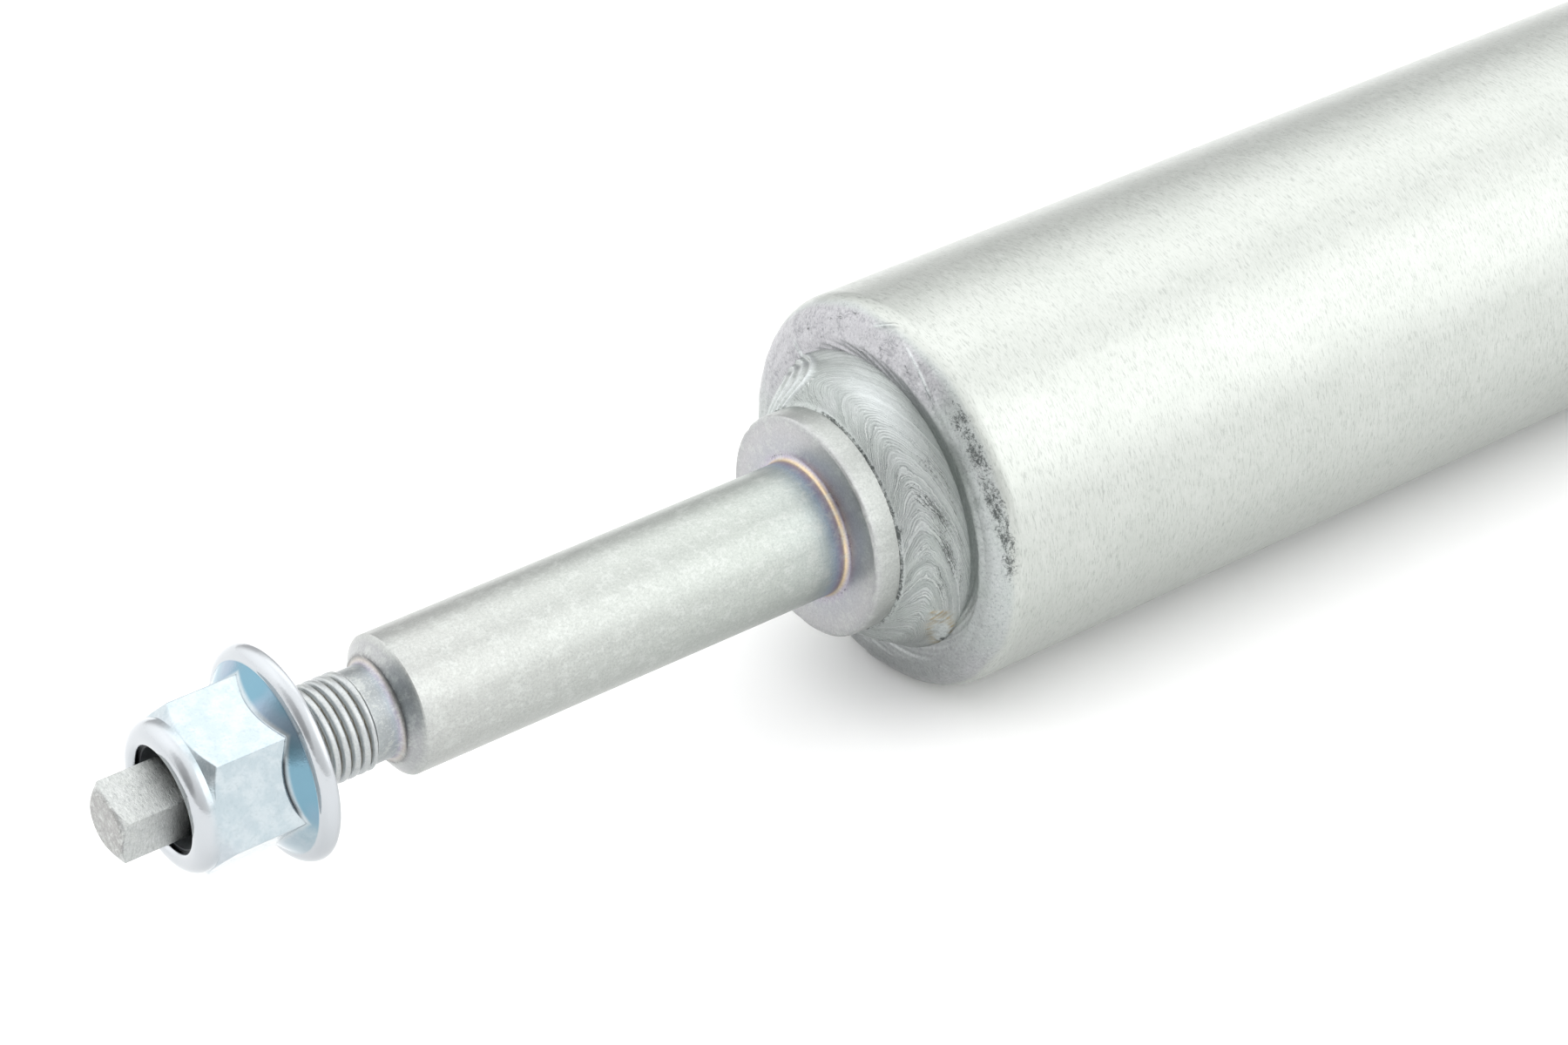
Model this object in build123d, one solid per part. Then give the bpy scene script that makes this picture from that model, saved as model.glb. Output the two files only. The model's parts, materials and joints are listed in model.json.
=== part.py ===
from build123d import *

import math
import os

# Telescopic hydraulic cylinder of the twin-tube damper kind, in millimetres.
# The axis is X: the threaded stem is at -X and the rod eye at +X. The origin is on
# the axis at the stud's shoulder, and +Z is up when the cylinder lies on a floor.

# --- Driving dimensions ------------------------------------------------------
# stem
TIP_SQUARE = 8.0  # key for a spanner, across flats
TIP_CORNER_R = 5.6
TIP_FACE_R = 3.85
TIP_CHAMFER = 0.9  # along the axis
TIP_X = -40.0
TIP_TURN = 15.6  # degrees from +Z towards -Y of one flat
STUD_START_X = -30.6
STUD_END_X = -4.6
THREAD_CREST_R = 6.93  # M14 x 1.5
THREAD_ROOT_R = 6.05
THREAD_PITCH = 1.5
NECK_R = 6.52
SHOULDER_R = 7.45
SHANK_R = 9.82
SHANK_CHAMFER = 1.7
FILLET_R = 0.8
COLLAR_X = 69.6
COLLAR_R = 16.25
COLLAR_BEVEL = 1.0
SPIGOT_R = 11.0

# nut, M14 x 1.5 flange nut with an insert, 21 mm across flats
NUT_FACE_X = -14.3
NUT_HEIGHT = 17.8
NUT_FLATS = 21.0
NUT_FLANGE_R = 14.95
NUT_RIM = 2.1
NUT_CONE = 3.5  # from the rim's front edge to the foot of the sides
NUT_CRIMP_R = 10.45
NUT_CRIMP_LENGTH = 2.6
NUT_MOUTH_R = 7.25
NUT_CHAMFER = 1.3  # along the axis, at the corners
NUT_BORE_R = 7.0
NUT_TURN = 13.6  # degrees from +Z towards -Y of one flat
INSERT_R = 9.4
INSERT_LENGTH = 2.7

# welded shell
CAP_X = 82.2
CAP_THICKNESS = 8.0
TUBE_R = 29.05
TUBE_WALL = 3.0
TUBE_END_X = 382.0
WELD_TOE_X = 73.5
WELD_LEG = 5.4
BEAD_FRONT_X = 80.9
BEAD_INNER_R = 22.4
BEAD_RISE = 2.2  # on the radius, from the bead's foot to its crest

# pressure tube and foot valve
PRESSURE_BORE_R = 20.0
PRESSURE_WALL = 1.5
PRESSURE_END_X = 352.0
FOOT_LEGS = 5.0
FOOT_DISC = 6.0
FOOT_LIFT = 1.2

# rod and piston
ROD_R = 9.0
ROD_END_X = 437.0
PISTON_NUT_X = 152.0
PISTON_X = 161.6
PISTON_LENGTH = 20.0
PISTON_R = 19.6
PISTON_BOLT_R = 6.0
BAND_LENGTH = 12.0
STOP_X = 200.0
STOP_LENGTH = 18.0
VALVE_LIFT = 1.5

# gland
GUIDE_X = 344.0
GUIDE_LENGTH = 20.0
GLAND_FACE_X = 388.0
SEAL_R = 17.0
WIPER_R = 14.0

# rod eye
EYE_X = 462.0
EYE_R = 28.0
EYE_BORE_R = 22.5
EYE_WIDTH = 38.0
SLEEVE_R = 11.0
SLEEVE_BORE_R = 8.1
SLEEVE_LENGTH = 44.0

# clearances
RUNNING = 0.04  # on a radius, between a shaft and its bore
FACE_GAP = 0.05  # between a valve plate and its seat

ARC_MIDDLE = 1 - math.cos(math.radians(45))  # how far a quarter arc's middle is in

CAP_BACK_X = CAP_X + CAP_THICKNESS
TUBE_BORE_R = TUBE_R - TUBE_WALL
PRESSURE_R = PRESSURE_BORE_R + PRESSURE_WALL
FOOT_X = CAP_BACK_X + FOOT_LEGS
FOOT_SEAT_X = FOOT_X + FOOT_DISC
BEAD_CORNER = TUBE_R - BEAD_INNER_R - BEAD_RISE
TUBE_START_X = BEAD_FRONT_X + BEAD_CORNER


# --- Helpers -----------------------------------------------------------------
def turned(*outline):
    """A solid turned about X. Each step of the outline is a corner (x, radius), or a
    pair of such points for an arc: one on the way and one at its end."""
    edges = []
    here = outline[0]
    for step in [*outline[1:], outline[0]]:
        if isinstance(step[0], tuple):
            on_the_way, end = step
            edges.append(ThreePointArc(here, on_the_way, end))
        else:
            end = step
            edges.append(Line(here, end))
        here = end
    return revolve(make_face(edges), Axis.X)


def ring(start, end, inner, outer):
    """A plain ring from start to end along X."""
    return turned((start, inner), (start, outer), (end, outer), (end, inner))


def disc(start, end, radius):
    """A plain round bar from start to end along X."""
    return ring(start, end, 0, radius)


def prism(start, end, flats, count, turn):
    """A regular bar along X with flats across opposite sides; the middle of one side
    lies turn degrees from +Z towards -Y."""
    section = Plane.YZ * Rotation(0, 0, 90 + turn) * RegularPolygon(
        flats / 2, count, major_radius=False, rotation=180 / count
    )
    return Pos(start, 0, 0) * extrude(section, end - start)


def around(solid, count, first=0):
    """Copies of a solid, evenly spaced about X."""
    return [Rotation(first + 360 / count * i, 0, 0) * solid for i in range(count)]


def torus(x, radius, thickness):
    """An O-shaped ring of round section."""
    section = Plane.XY * Pos(x, radius) * Circle(thickness / 2)
    return revolve(section, Axis.X)


def coil_spring(start, end, radius, wire, turns):
    """A helical spring about X between two faces."""
    length = end - start - wire
    path = Helix(pitch=length / turns, height=length, radius=radius)
    section = Plane(path @ 0, z_dir=path % 0) * Circle(wire / 2)
    coil = sweep(section, path, is_frenet=True)
    return Pos(start + wire / 2, 0, 0) * Rotation(0, 90, 0) * coil


# --- Stem and nut ------------------------------------------------------------
def stem():
    """Square tip, threaded stud, neck, shank, collar and spigot, turned from one bar.
    The stud's thread is a row of grooves with the thread's own section."""
    crest = 0.3
    flank = 0.45
    outline = [(STUD_START_X, 0), (STUD_START_X, THREAD_ROOT_R - 0.3)]
    groove_x = STUD_START_X + 0.9
    while groove_x + THREAD_PITCH < STUD_END_X:
        outline += [
            (groove_x, THREAD_CREST_R),
            (groove_x + crest, THREAD_CREST_R),
            (groove_x + crest + flank, THREAD_ROOT_R),
            (groove_x + THREAD_PITCH - flank, THREAD_ROOT_R),
        ]
        groove_x += THREAD_PITCH
    outline += [
        (groove_x, THREAD_CREST_R),
        (STUD_END_X, NECK_R),
        (-FILLET_R, NECK_R),
        (
            (-FILLET_R * ARC_MIDDLE, NECK_R + FILLET_R * ARC_MIDDLE),
            (0, NECK_R + FILLET_R),
        ),
        (0, SHOULDER_R),
        (SHANK_CHAMFER, SHANK_R),
        (COLLAR_X - FILLET_R, SHANK_R),
        (
            (COLLAR_X - FILLET_R * ARC_MIDDLE, SHANK_R + FILLET_R * ARC_MIDDLE),
            (COLLAR_X, SHANK_R + FILLET_R),
        ),
        (COLLAR_X, COLLAR_R - COLLAR_BEVEL),
        (COLLAR_X + COLLAR_BEVEL, COLLAR_R),
        (CAP_X, COLLAR_R),
        (CAP_X, SPIGOT_R),
        (CAP_BACK_X - 1, SPIGOT_R),
        (CAP_BACK_X, SPIGOT_R - 1),
        (CAP_BACK_X, 0),
    ]
    square = prism(TIP_X, STUD_START_X, TIP_SQUARE, 4, TIP_TURN)
    rounded = turned(
        (TIP_X, 0),
        (TIP_X, TIP_FACE_R),
        (TIP_X + TIP_CHAMFER, TIP_CORNER_R),
        (STUD_START_X, TIP_CORNER_R),
        (STUD_START_X, 0),
    )
    return turned(*outline) + (square & rounded)


def flange_nut():
    """Hexagon, conical flange and a rolled crimp over the insert, with a plain bore at
    the thread's crest."""
    top = NUT_FACE_X - NUT_HEIGHT
    crimp = top + NUT_CRIMP_LENGTH
    corner = NUT_FLATS / 2 / math.cos(math.radians(30))
    hexagon = prism(crimp, NUT_FACE_X - 1, NUT_FLATS, 6, NUT_TURN)
    hexagon &= turned(
        (crimp, 0),
        (crimp, NUT_CRIMP_R),
        (crimp + NUT_CHAMFER, corner),
        (NUT_FACE_X - 1, corner),
        (NUT_FACE_X - 1, 0),
    )
    rim_front = NUT_FACE_X - NUT_RIM
    flange = turned(
        (rim_front - NUT_CONE, 0),
        (rim_front - NUT_CONE, NUT_FLATS / 2 - 0.4),
        (rim_front, NUT_FLANGE_R - 0.7),
        (
            (NUT_FACE_X - NUT_RIM / 2 - 0.1, NUT_FLANGE_R),
            (NUT_FACE_X - 0.15, NUT_FLANGE_R - 0.75),
        ),
        (NUT_FACE_X, NUT_FLANGE_R - 1.6),
        (NUT_FACE_X, 0),
    )
    rolled = turned(
        (crimp + 0.3, 0),
        (crimp + 0.3, NUT_CRIMP_R),
        (crimp - 0.2, NUT_CRIMP_R),
        ((top + 0.85, NUT_CRIMP_R - 0.7), (top, NUT_CRIMP_R - 1.8)),
        ((top + 0.12, NUT_MOUTH_R + 0.35), (top + 0.6, NUT_MOUTH_R)),
        (top + 0.6, 0),
    )
    bore = disc(top - 1, NUT_FACE_X + 1, NUT_BORE_R)
    mouth = disc(top - 1, top + 1.2, NUT_MOUTH_R)
    pocket = disc(top + 1.1, top + 1.3 + INSERT_LENGTH, INSERT_R + 0.08)
    countersink = turned(
        (NUT_FACE_X - 1.2, 0),
        (NUT_FACE_X - 1.2, NUT_BORE_R),
        (NUT_FACE_X, NUT_BORE_R + 1.2),
        (NUT_FACE_X, 0),
    )
    return hexagon + flange + rolled - bore - mouth - pocket - countersink


def nut_insert():
    """Nylon locking ring held under the crimp."""
    start = NUT_FACE_X - NUT_HEIGHT + 1.2
    return ring(start, start + INSERT_LENGTH, NUT_BORE_R, INSERT_R)


# --- Welded shell ------------------------------------------------------------
def base_cap():
    """Thick disc that closes the tube and takes the stem's spigot."""
    return turned(
        (CAP_X, SPIGOT_R),
        (CAP_X, TUBE_BORE_R),
        (CAP_BACK_X - 1, TUBE_BORE_R),
        (CAP_BACK_X, TUBE_BORE_R - 1),
        (CAP_BACK_X, SPIGOT_R),
    )


def reservoir_tube():
    """Outer tube, open at both ends."""
    return ring(TUBE_START_X, TUBE_END_X, TUBE_BORE_R, TUBE_R)


def stem_weld():
    """Fillet weld round the collar, a little convex."""
    toe_r = COLLAR_R + WELD_LEG
    middle = (WELD_TOE_X + CAP_X) / 2 - 0.9
    return turned(
        (WELD_TOE_X, COLLAR_R),
        (WELD_TOE_X + 0.2, COLLAR_R + 0.35),
        ((middle, COLLAR_R + WELD_LEG / 2 + 0.7), (CAP_X, toe_r)),
        (CAP_X, COLLAR_R),
    )


def rim_weld():
    """Bead between the cap and the tube's end, which rounds the corner."""
    crest_r = BEAD_INNER_R + BEAD_RISE
    return turned(
        (CAP_X, BEAD_INNER_R),
        ((BEAD_FRONT_X + 0.4, BEAD_INNER_R + 0.6), (BEAD_FRONT_X, crest_r)),
        (
            (BEAD_FRONT_X + BEAD_CORNER * ARC_MIDDLE, TUBE_R - BEAD_CORNER * ARC_MIDDLE),
            (TUBE_START_X, TUBE_R),
        ),
        (TUBE_START_X, TUBE_BORE_R),
        (CAP_X, TUBE_BORE_R),
    )


# --- Foot valve --------------------------------------------------------------
def foot_valve_body():
    """Seat disc on four legs, with outer intake ports and inner blow-off ports."""
    body = disc(FOOT_X, FOOT_SEAT_X, PRESSURE_R)
    body += ring(FOOT_SEAT_X, FOOT_SEAT_X + 4, 18.6, PRESSURE_BORE_R)
    leg_ring = ring(CAP_BACK_X, FOOT_X, 17.0, PRESSURE_R)
    gap = Pos(CAP_BACK_X + FOOT_LEGS / 2, 0, 20) * Box(FOOT_LEGS, 9, 12)
    body += leg_ring - around(gap, 4)
    outer_port = Pos(FOOT_X + FOOT_DISC / 2, 0, 13.5) * Rotation(0, 90, 0) * Cylinder(1.6, 8)
    inner_port = Pos(FOOT_X + FOOT_DISC / 2, 0, 6.2) * Rotation(0, 90, 0) * Cylinder(1.1, 8)
    bolt_hole = disc(FOOT_X - 1, FOOT_SEAT_X + 1, 3.0)
    return body - around(outer_port, 8) - around(inner_port, 4, 45) - bolt_hole


def foot_valve_bolt():
    """Hexagon-headed bolt through the seat disc, its thread plain."""
    head = prism(FOOT_X - 4.4, FOOT_X - 1.2, 10, 6, 0)
    return head + disc(FOOT_X - 1.2, FOOT_SEAT_X + 8.5, 3.0)


def foot_valve_shims():
    """Stack of blow-off shims under the bolt's head."""
    stack = ring(FOOT_X - 0.4, FOOT_X, 3.0, 8.6)
    stack += ring(FOOT_X - 0.8, FOOT_X - 0.4, 3.0, 7.6)
    return stack + ring(FOOT_X - 1.2, FOOT_X - 0.8, 3.0, 6.6)


def foot_valve_nut():
    """Flanged nut that clamps the disc and stops the intake plate's spring."""
    collar = ring(FOOT_SEAT_X, FOOT_SEAT_X + 4.2, 3.0, 7.9)
    flange = ring(FOOT_SEAT_X + 4.2, FOOT_SEAT_X + 5.2, 3.0, 11.5)
    hexagon = prism(FOOT_SEAT_X + 5.2, FOOT_SEAT_X + 8.0, 10, 6, 0)
    return collar + flange + (hexagon - disc(FOOT_SEAT_X, FOOT_SEAT_X + 9, 3.0))


def foot_valve_plate():
    """Intake plate that lifts off the seat when the rod comes out."""
    start = FOOT_SEAT_X + FACE_GAP
    return ring(start, start + 1.0, 8.0, 18.2)


def foot_valve_spring():
    """Light coil between the intake plate and the nut's flange."""
    start = FOOT_SEAT_X + FACE_GAP + 1.1
    return coil_spring(start, FOOT_SEAT_X + 4.1, 9.6, 0.7, 2)


# --- Rod and piston ----------------------------------------------------------
def pressure_tube():
    """Inner tube in which the piston runs."""
    return ring(FOOT_SEAT_X, PRESSURE_END_X, PRESSURE_BORE_R, PRESSURE_R)


def piston_rod():
    """Chromed rod with a reduced end for the piston and a groove for the stop."""
    shoulder = PISTON_X + PISTON_LENGTH + 5.4
    return turned(
        (PISTON_NUT_X - 1, 0),
        (PISTON_NUT_X - 1, PISTON_BOLT_R - 0.8),
        (PISTON_NUT_X, PISTON_BOLT_R),
        (shoulder, PISTON_BOLT_R),
        (shoulder, ROD_R),
        (STOP_X, ROD_R),
        (STOP_X, ROD_R - 1),
        (STOP_X + 3, ROD_R - 1),
        (STOP_X + 3, ROD_R),
        (ROD_END_X - 3, ROD_R),
        (ROD_END_X - 3, 0),
    )


def piston():
    """Sintered piston with a band groove, intake ports and rebound ports."""
    end = PISTON_X + PISTON_LENGTH
    band_start = PISTON_X + (PISTON_LENGTH - BAND_LENGTH) / 2
    body = ring(PISTON_X, end, PISTON_BOLT_R, PISTON_R)
    body -= ring(band_start, band_start + BAND_LENGTH, PISTON_R - 1.5, PISTON_R + 1)
    middle = PISTON_X + PISTON_LENGTH / 2
    outer_port = Pos(middle, 0, 14.6) * Rotation(0, 90, 0) * Cylinder(1.7, PISTON_LENGTH + 2)
    inner_port = Pos(middle, 0, 9.6) * Rotation(0, 90, 0) * Cylinder(1.2, PISTON_LENGTH + 2)
    return body - around(outer_port, 8) - around(inner_port, 6)


def piston_band():
    """Low-friction band that runs in the pressure tube."""
    start = PISTON_X + (PISTON_LENGTH - BAND_LENGTH) / 2 + 0.1
    inner = PISTON_R - 1.5 + RUNNING
    return ring(start, start + BAND_LENGTH - 0.2, inner, PRESSURE_BORE_R - RUNNING)


def rebound_shims():
    """Stack of shims under the piston nut."""
    stack = ring(PISTON_X - 0.5, PISTON_X, PISTON_BOLT_R, 12.5)
    stack += ring(PISTON_X - 1.0, PISTON_X - 0.5, PISTON_BOLT_R, 11.0)
    return stack + ring(PISTON_X - 1.6, PISTON_X - 1.0, PISTON_BOLT_R, 9.5)


def piston_nut():
    """Hexagon nut on the rod's reduced end, its thread plain."""
    hexagon = prism(PISTON_NUT_X, PISTON_X - 1.6, 18, 6, 0)
    return hexagon - disc(PISTON_NUT_X - 1, PISTON_X, PISTON_BOLT_R)


def intake_plate():
    """Check plate on the piston's rod side, which lifts when the rod goes in."""
    start = PISTON_X + PISTON_LENGTH + FACE_GAP
    return ring(start, start + 1.0, 11.8 + RUNNING, 17.2)


def intake_support():
    """Stepped washer on the rod's shoulder that guides the plate and stops it."""
    start = PISTON_X + PISTON_LENGTH
    washer = ring(start, start + 4.2, PISTON_BOLT_R, 11.8)
    port = Pos(start, 0, 9.6) * Rotation(0, 90, 0) * Cylinder(1.2, 3)
    rim = ring(start + 4.2, start + 5.4, PISTON_BOLT_R, 16.0)
    return washer + rim - around(port, 6)


def intake_spring():
    """Light coil between the check plate and its support's rim."""
    start = PISTON_X + PISTON_LENGTH + FACE_GAP + 1.1
    return coil_spring(start, PISTON_X + PISTON_LENGTH + 4.1, 13.6, 0.7, 2)


def stop_ring():
    """Steel ring rolled into the rod's groove."""
    return ring(STOP_X, STOP_X + 3, ROD_R - 1, 15.0)


def rebound_stop():
    """Elastic cushion that ends the stroke against the rod guide."""
    start = STOP_X + 3
    end = STOP_X + STOP_LENGTH
    return turned(
        (start, ROD_R),
        (start, 16.5),
        ((start + 4, 17.6), (start + 8, 16.2)),
        (end, 14.5),
        (end, ROD_R),
    )


# --- Gland -------------------------------------------------------------------
def rod_guide():
    """Stepped guide that centres the pressure tube and carries the bush."""
    end = GUIDE_X + GUIDE_LENGTH
    groove = PRESSURE_END_X + 5
    return turned(
        (GUIDE_X, 11.0),
        (GUIDE_X, PRESSURE_BORE_R - 1),
        (GUIDE_X + 1, PRESSURE_BORE_R),
        (PRESSURE_END_X, PRESSURE_BORE_R),
        (PRESSURE_END_X, TUBE_BORE_R),
        (groove, TUBE_BORE_R),
        (groove, TUBE_BORE_R - 2.2),
        (groove + 3, TUBE_BORE_R - 2.2),
        (groove + 3, TUBE_BORE_R),
        (end, TUBE_BORE_R),
        (end, 11.0),
    )


def guide_bush():
    """Lined bush for the rod."""
    return ring(GUIDE_X + 1, GUIDE_X + GUIDE_LENGTH - 1, ROD_R + RUNNING, 11.0)


def guide_o_ring():
    """Static seal between the guide and the reservoir tube."""
    return torus(PRESSURE_END_X + 6.5, TUBE_BORE_R - 1.1, 2.2)


def rod_seal():
    """Lip seal round the rod, with a recess for its garter spring."""
    start = GUIDE_X + GUIDE_LENGTH
    lip = ROD_R + RUNNING
    return turned(
        (start, 14.0),
        (start, SEAL_R),
        (start + 12, SEAL_R),
        (start + 12, lip + 1.2),
        (start + 6, lip + 0.8),
        (start + 4, lip),
        (start + 1, lip + 1.0),
        (start + 1, 10.8),
        (start + 5.5, 11.2),
        (start + 5.5, 14.0),
    )


def seal_spring():
    """Garter spring behind the seal's lip, as a plain torus."""
    return torus(GUIDE_X + GUIDE_LENGTH + 3.2, 12.0, 1.4)


def gland_nut():
    """Screwed ring that closes the tube, with four spanner slots."""
    start = GUIDE_X + GUIDE_LENGTH
    seal_end = start + 12
    body = turned(
        (start, SEAL_R),
        (start, TUBE_BORE_R),
        (TUBE_END_X, TUBE_BORE_R),
        (TUBE_END_X, TUBE_R),
        (GLAND_FACE_X - 1.5, TUBE_R),
        (GLAND_FACE_X, TUBE_R - 1.5),
        (GLAND_FACE_X, WIPER_R),
        (seal_end + 3, WIPER_R),
        (seal_end + 3, ROD_R + 1),
        (seal_end, ROD_R + 1),
        (seal_end, SEAL_R),
    )
    slot = Pos(GLAND_FACE_X, 0, TUBE_R - 1) * Box(7, 6, 8)
    return body - around(slot, 4, 45)


def wiper():
    """Wiper with a lip that stands out of the gland."""
    start = GUIDE_X + GUIDE_LENGTH + 15
    lip = ROD_R + RUNNING
    return turned(
        (start, lip + 1.0),
        (start, WIPER_R),
        (GLAND_FACE_X - 1, WIPER_R),
        (GLAND_FACE_X - 1, WIPER_R - 1.5),
        (GLAND_FACE_X + 1.8, lip + 1.2),
        (GLAND_FACE_X + 1.8, lip),
        (GLAND_FACE_X + 0.6, lip),
    )


# --- Rod eye -----------------------------------------------------------------
def across(half_width, inner, outer):
    """A ring about the eye's own axis, which is along Y."""
    tube = Cylinder(outer, half_width * 2) - Cylinder(inner, half_width * 2 + 2)
    return Pos(EYE_X, 0, 0) * Rotation(90, 0, 0) * tube


def eye_ring():
    """Forged ring welded to the rod's end, with a seat for the rod."""
    outside = across(EYE_WIDTH / 2, EYE_BORE_R, EYE_R)
    outside = chamfer(outside.edges().filter_by(GeomType.CIRCLE), 0.8)
    boss = disc(ROD_END_X - 3, EYE_X, ROD_R + 3)
    bore = Pos(EYE_X, 0, 0) * Rotation(90, 0, 0) * Cylinder(EYE_R - 1, EYE_WIDTH)
    return outside + (boss - bore)


def eye_weld():
    """Fillet weld between the rod and the ring's boss."""
    start = ROD_END_X - 3
    return turned((start - 3.2, ROD_R), ((start - 1.2, ROD_R + 1.6), (start, ROD_R + 2.8)), (start, ROD_R))


def eye_bush():
    """Rubber bush that fills the ring, waisted at its ends."""
    sleeve = SLEEVE_R + RUNNING
    half = EYE_WIDTH / 2
    section = Polyline(
        (sleeve, half + 1.5),
        (sleeve + 4, half + 1.5),
        (EYE_BORE_R - 2, half - 2.5),
        (EYE_BORE_R, half - 2.5),
        (EYE_BORE_R, 2.5 - half),
        (EYE_BORE_R - 2, 2.5 - half),
        (sleeve + 4, -half - 1.5),
        (sleeve, -half - 1.5),
        close=True,
    )
    return Pos(EYE_X, 0, 0) * revolve(make_face(section), Axis.Y)


def eye_sleeve():
    """Steel sleeve that takes the mounting bolt."""
    sleeve = across(SLEEVE_LENGTH / 2, SLEEVE_BORE_R, SLEEVE_R)
    return chamfer(sleeve.edges().filter_by(GeomType.CIRCLE), 0.5)


PIECES = {
    "stem": stem,
    "flange_nut": flange_nut,
    "nut_insert": nut_insert,
    "base_cap": base_cap,
    "reservoir_tube": reservoir_tube,
    "stem_weld": stem_weld,
    "rim_weld": rim_weld,
    "pressure_tube": pressure_tube,
    "foot_valve_body": foot_valve_body,
    "foot_valve_bolt": foot_valve_bolt,
    "foot_valve_shims": foot_valve_shims,
    "foot_valve_nut": foot_valve_nut,
    "foot_valve_plate": foot_valve_plate,
    "foot_valve_spring": foot_valve_spring,
    "piston_rod": piston_rod,
    "piston": piston,
    "piston_band": piston_band,
    "rebound_shims": rebound_shims,
    "piston_nut": piston_nut,
    "intake_plate": intake_plate,
    "intake_support": intake_support,
    "intake_spring": intake_spring,
    "stop_ring": stop_ring,
    "rebound_stop": rebound_stop,
    "rod_guide": rod_guide,
    "guide_bush": guide_bush,
    "guide_o_ring": guide_o_ring,
    "rod_seal": rod_seal,
    "seal_spring": seal_spring,
    "gland_nut": gland_nut,
    "wiper": wiper,
    "eye_ring": eye_ring,
    "eye_weld": eye_weld,
    "eye_bush": eye_bush,
    "eye_sleeve": eye_sleeve,
}

os.makedirs("parts", exist_ok=True)
for name, make in PIECES.items():
    export_step(make(), f"parts/{name}.step")
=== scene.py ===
import json
import math

import bpy
import numpy as np
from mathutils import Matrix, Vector


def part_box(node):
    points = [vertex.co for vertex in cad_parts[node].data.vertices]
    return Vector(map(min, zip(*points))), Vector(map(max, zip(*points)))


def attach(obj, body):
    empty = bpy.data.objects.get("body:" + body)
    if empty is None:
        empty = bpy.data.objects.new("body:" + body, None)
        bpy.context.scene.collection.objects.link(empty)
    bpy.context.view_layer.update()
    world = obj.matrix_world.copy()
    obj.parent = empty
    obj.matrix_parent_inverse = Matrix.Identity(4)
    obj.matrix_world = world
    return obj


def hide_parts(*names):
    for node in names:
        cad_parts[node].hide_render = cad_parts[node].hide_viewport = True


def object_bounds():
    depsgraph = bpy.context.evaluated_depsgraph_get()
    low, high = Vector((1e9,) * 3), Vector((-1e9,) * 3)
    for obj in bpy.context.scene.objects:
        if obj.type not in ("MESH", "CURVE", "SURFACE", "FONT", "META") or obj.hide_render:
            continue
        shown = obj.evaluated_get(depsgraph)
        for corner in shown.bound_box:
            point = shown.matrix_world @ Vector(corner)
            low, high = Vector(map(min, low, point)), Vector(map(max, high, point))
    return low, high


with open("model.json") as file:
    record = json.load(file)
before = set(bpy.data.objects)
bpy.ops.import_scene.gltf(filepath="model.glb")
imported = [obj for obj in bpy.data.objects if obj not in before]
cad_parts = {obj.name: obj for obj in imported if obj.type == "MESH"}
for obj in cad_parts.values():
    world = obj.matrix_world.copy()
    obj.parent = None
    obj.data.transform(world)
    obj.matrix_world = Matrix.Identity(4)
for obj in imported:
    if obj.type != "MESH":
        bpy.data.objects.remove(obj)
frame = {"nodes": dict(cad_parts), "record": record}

MM = 0.001
CAD_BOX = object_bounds()
SEED = 7

# --- Where things are, from the frame ----------------------------------------
STEM_LOW, STEM_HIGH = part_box("stem")
NUT_LOW, NUT_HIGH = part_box("flange_nut")
CAP_LOW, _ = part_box("base_cap")
TUBE_LOW, TUBE_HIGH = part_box("reservoir_tube")
WELD_LOW, WELD_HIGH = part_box("stem_weld")
BEAD_LOW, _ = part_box("rim_weld")
TIP = STEM_LOW.x / MM
COLLAR_R = STEM_HIGH.z / MM
SPIGOT_END = STEM_HIGH.x / MM
NUT_TOP = NUT_LOW.x / MM
NUT_FACE = NUT_HIGH.x / MM
NUT_FLANGE_R = (NUT_HIGH.z - NUT_LOW.z) / 2 / MM
CAP_X = CAP_LOW.x / MM
TUBE_R = TUBE_HIGH.z / MM
TUBE_START = TUBE_LOW.x / MM
TUBE_END = TUBE_HIGH.x / MM
WELD_TOE_X = WELD_LOW.x / MM
WELD_TOE_R = WELD_HIGH.z / MM
BEAD_FRONT = BEAD_LOW.x / MM

# --- Sizes of detail, in millimetres and degrees -----------------------------
TIP_FLAT = 4.0  # from the axis to a side of the square
TIP_CORNER_R = 5.6  # over the square's turned corners
TIP_TURNED_R = TIP_CORNER_R + 0.1  # before the square is cut
TIP_FACE_R = 3.85
TIP_CHAMFER = 0.9
TIP_TURN = 15.6
STUD_START = -29.2
STUD_END = -3.7
STUD_CORE_R = TIP_CORNER_R + 0.12  # where the thread's lead-in starts
CREST_R = 6.93
ROOT_R = 6.3
PITCH = 1.5
NECK_R = 6.52
SHOULDER_R = 7.45
SHANK_R = 9.82
FILLET = 0.8
COLLAR_X = 69.6
COLLAR_BEVEL = 0.5
SPIGOT_R = 11.0
NUT_FLAT = 10.5  # from the axis to a side of the hexagon
NUT_TURN = 13.6
NUT_CRIMP_R = 10.45
NUT_BORE_R = 7.0
NUT_MOUTH_R = 7.25
NUT_INSERT_R = 9.48  # the groove that holds the nylon ring
NUT_LIP_R = 8.2
NUT_RIM_R = 1.7  # radius of the flange's rounded rim
NUT_RIM_DEPTH = 2.65
BEAD_CREST_R = 24.6
TUBE_WALL = 3.0

# --- Columns of each mesh round the axis -------------------------------------
STEM_COLUMNS = 288
NUT_COLUMNS = 432
STEM_WELD_COLUMNS = 1800
RIM_WELD_COLUMNS = 1440
TUBE_COLUMNS = 256


# --- Shaping helpers ---------------------------------------------------------
def angles(count):
    """Angles about X in radians, from +Z towards -Y."""
    return np.arange(count) * (2 * math.pi / count)


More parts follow.
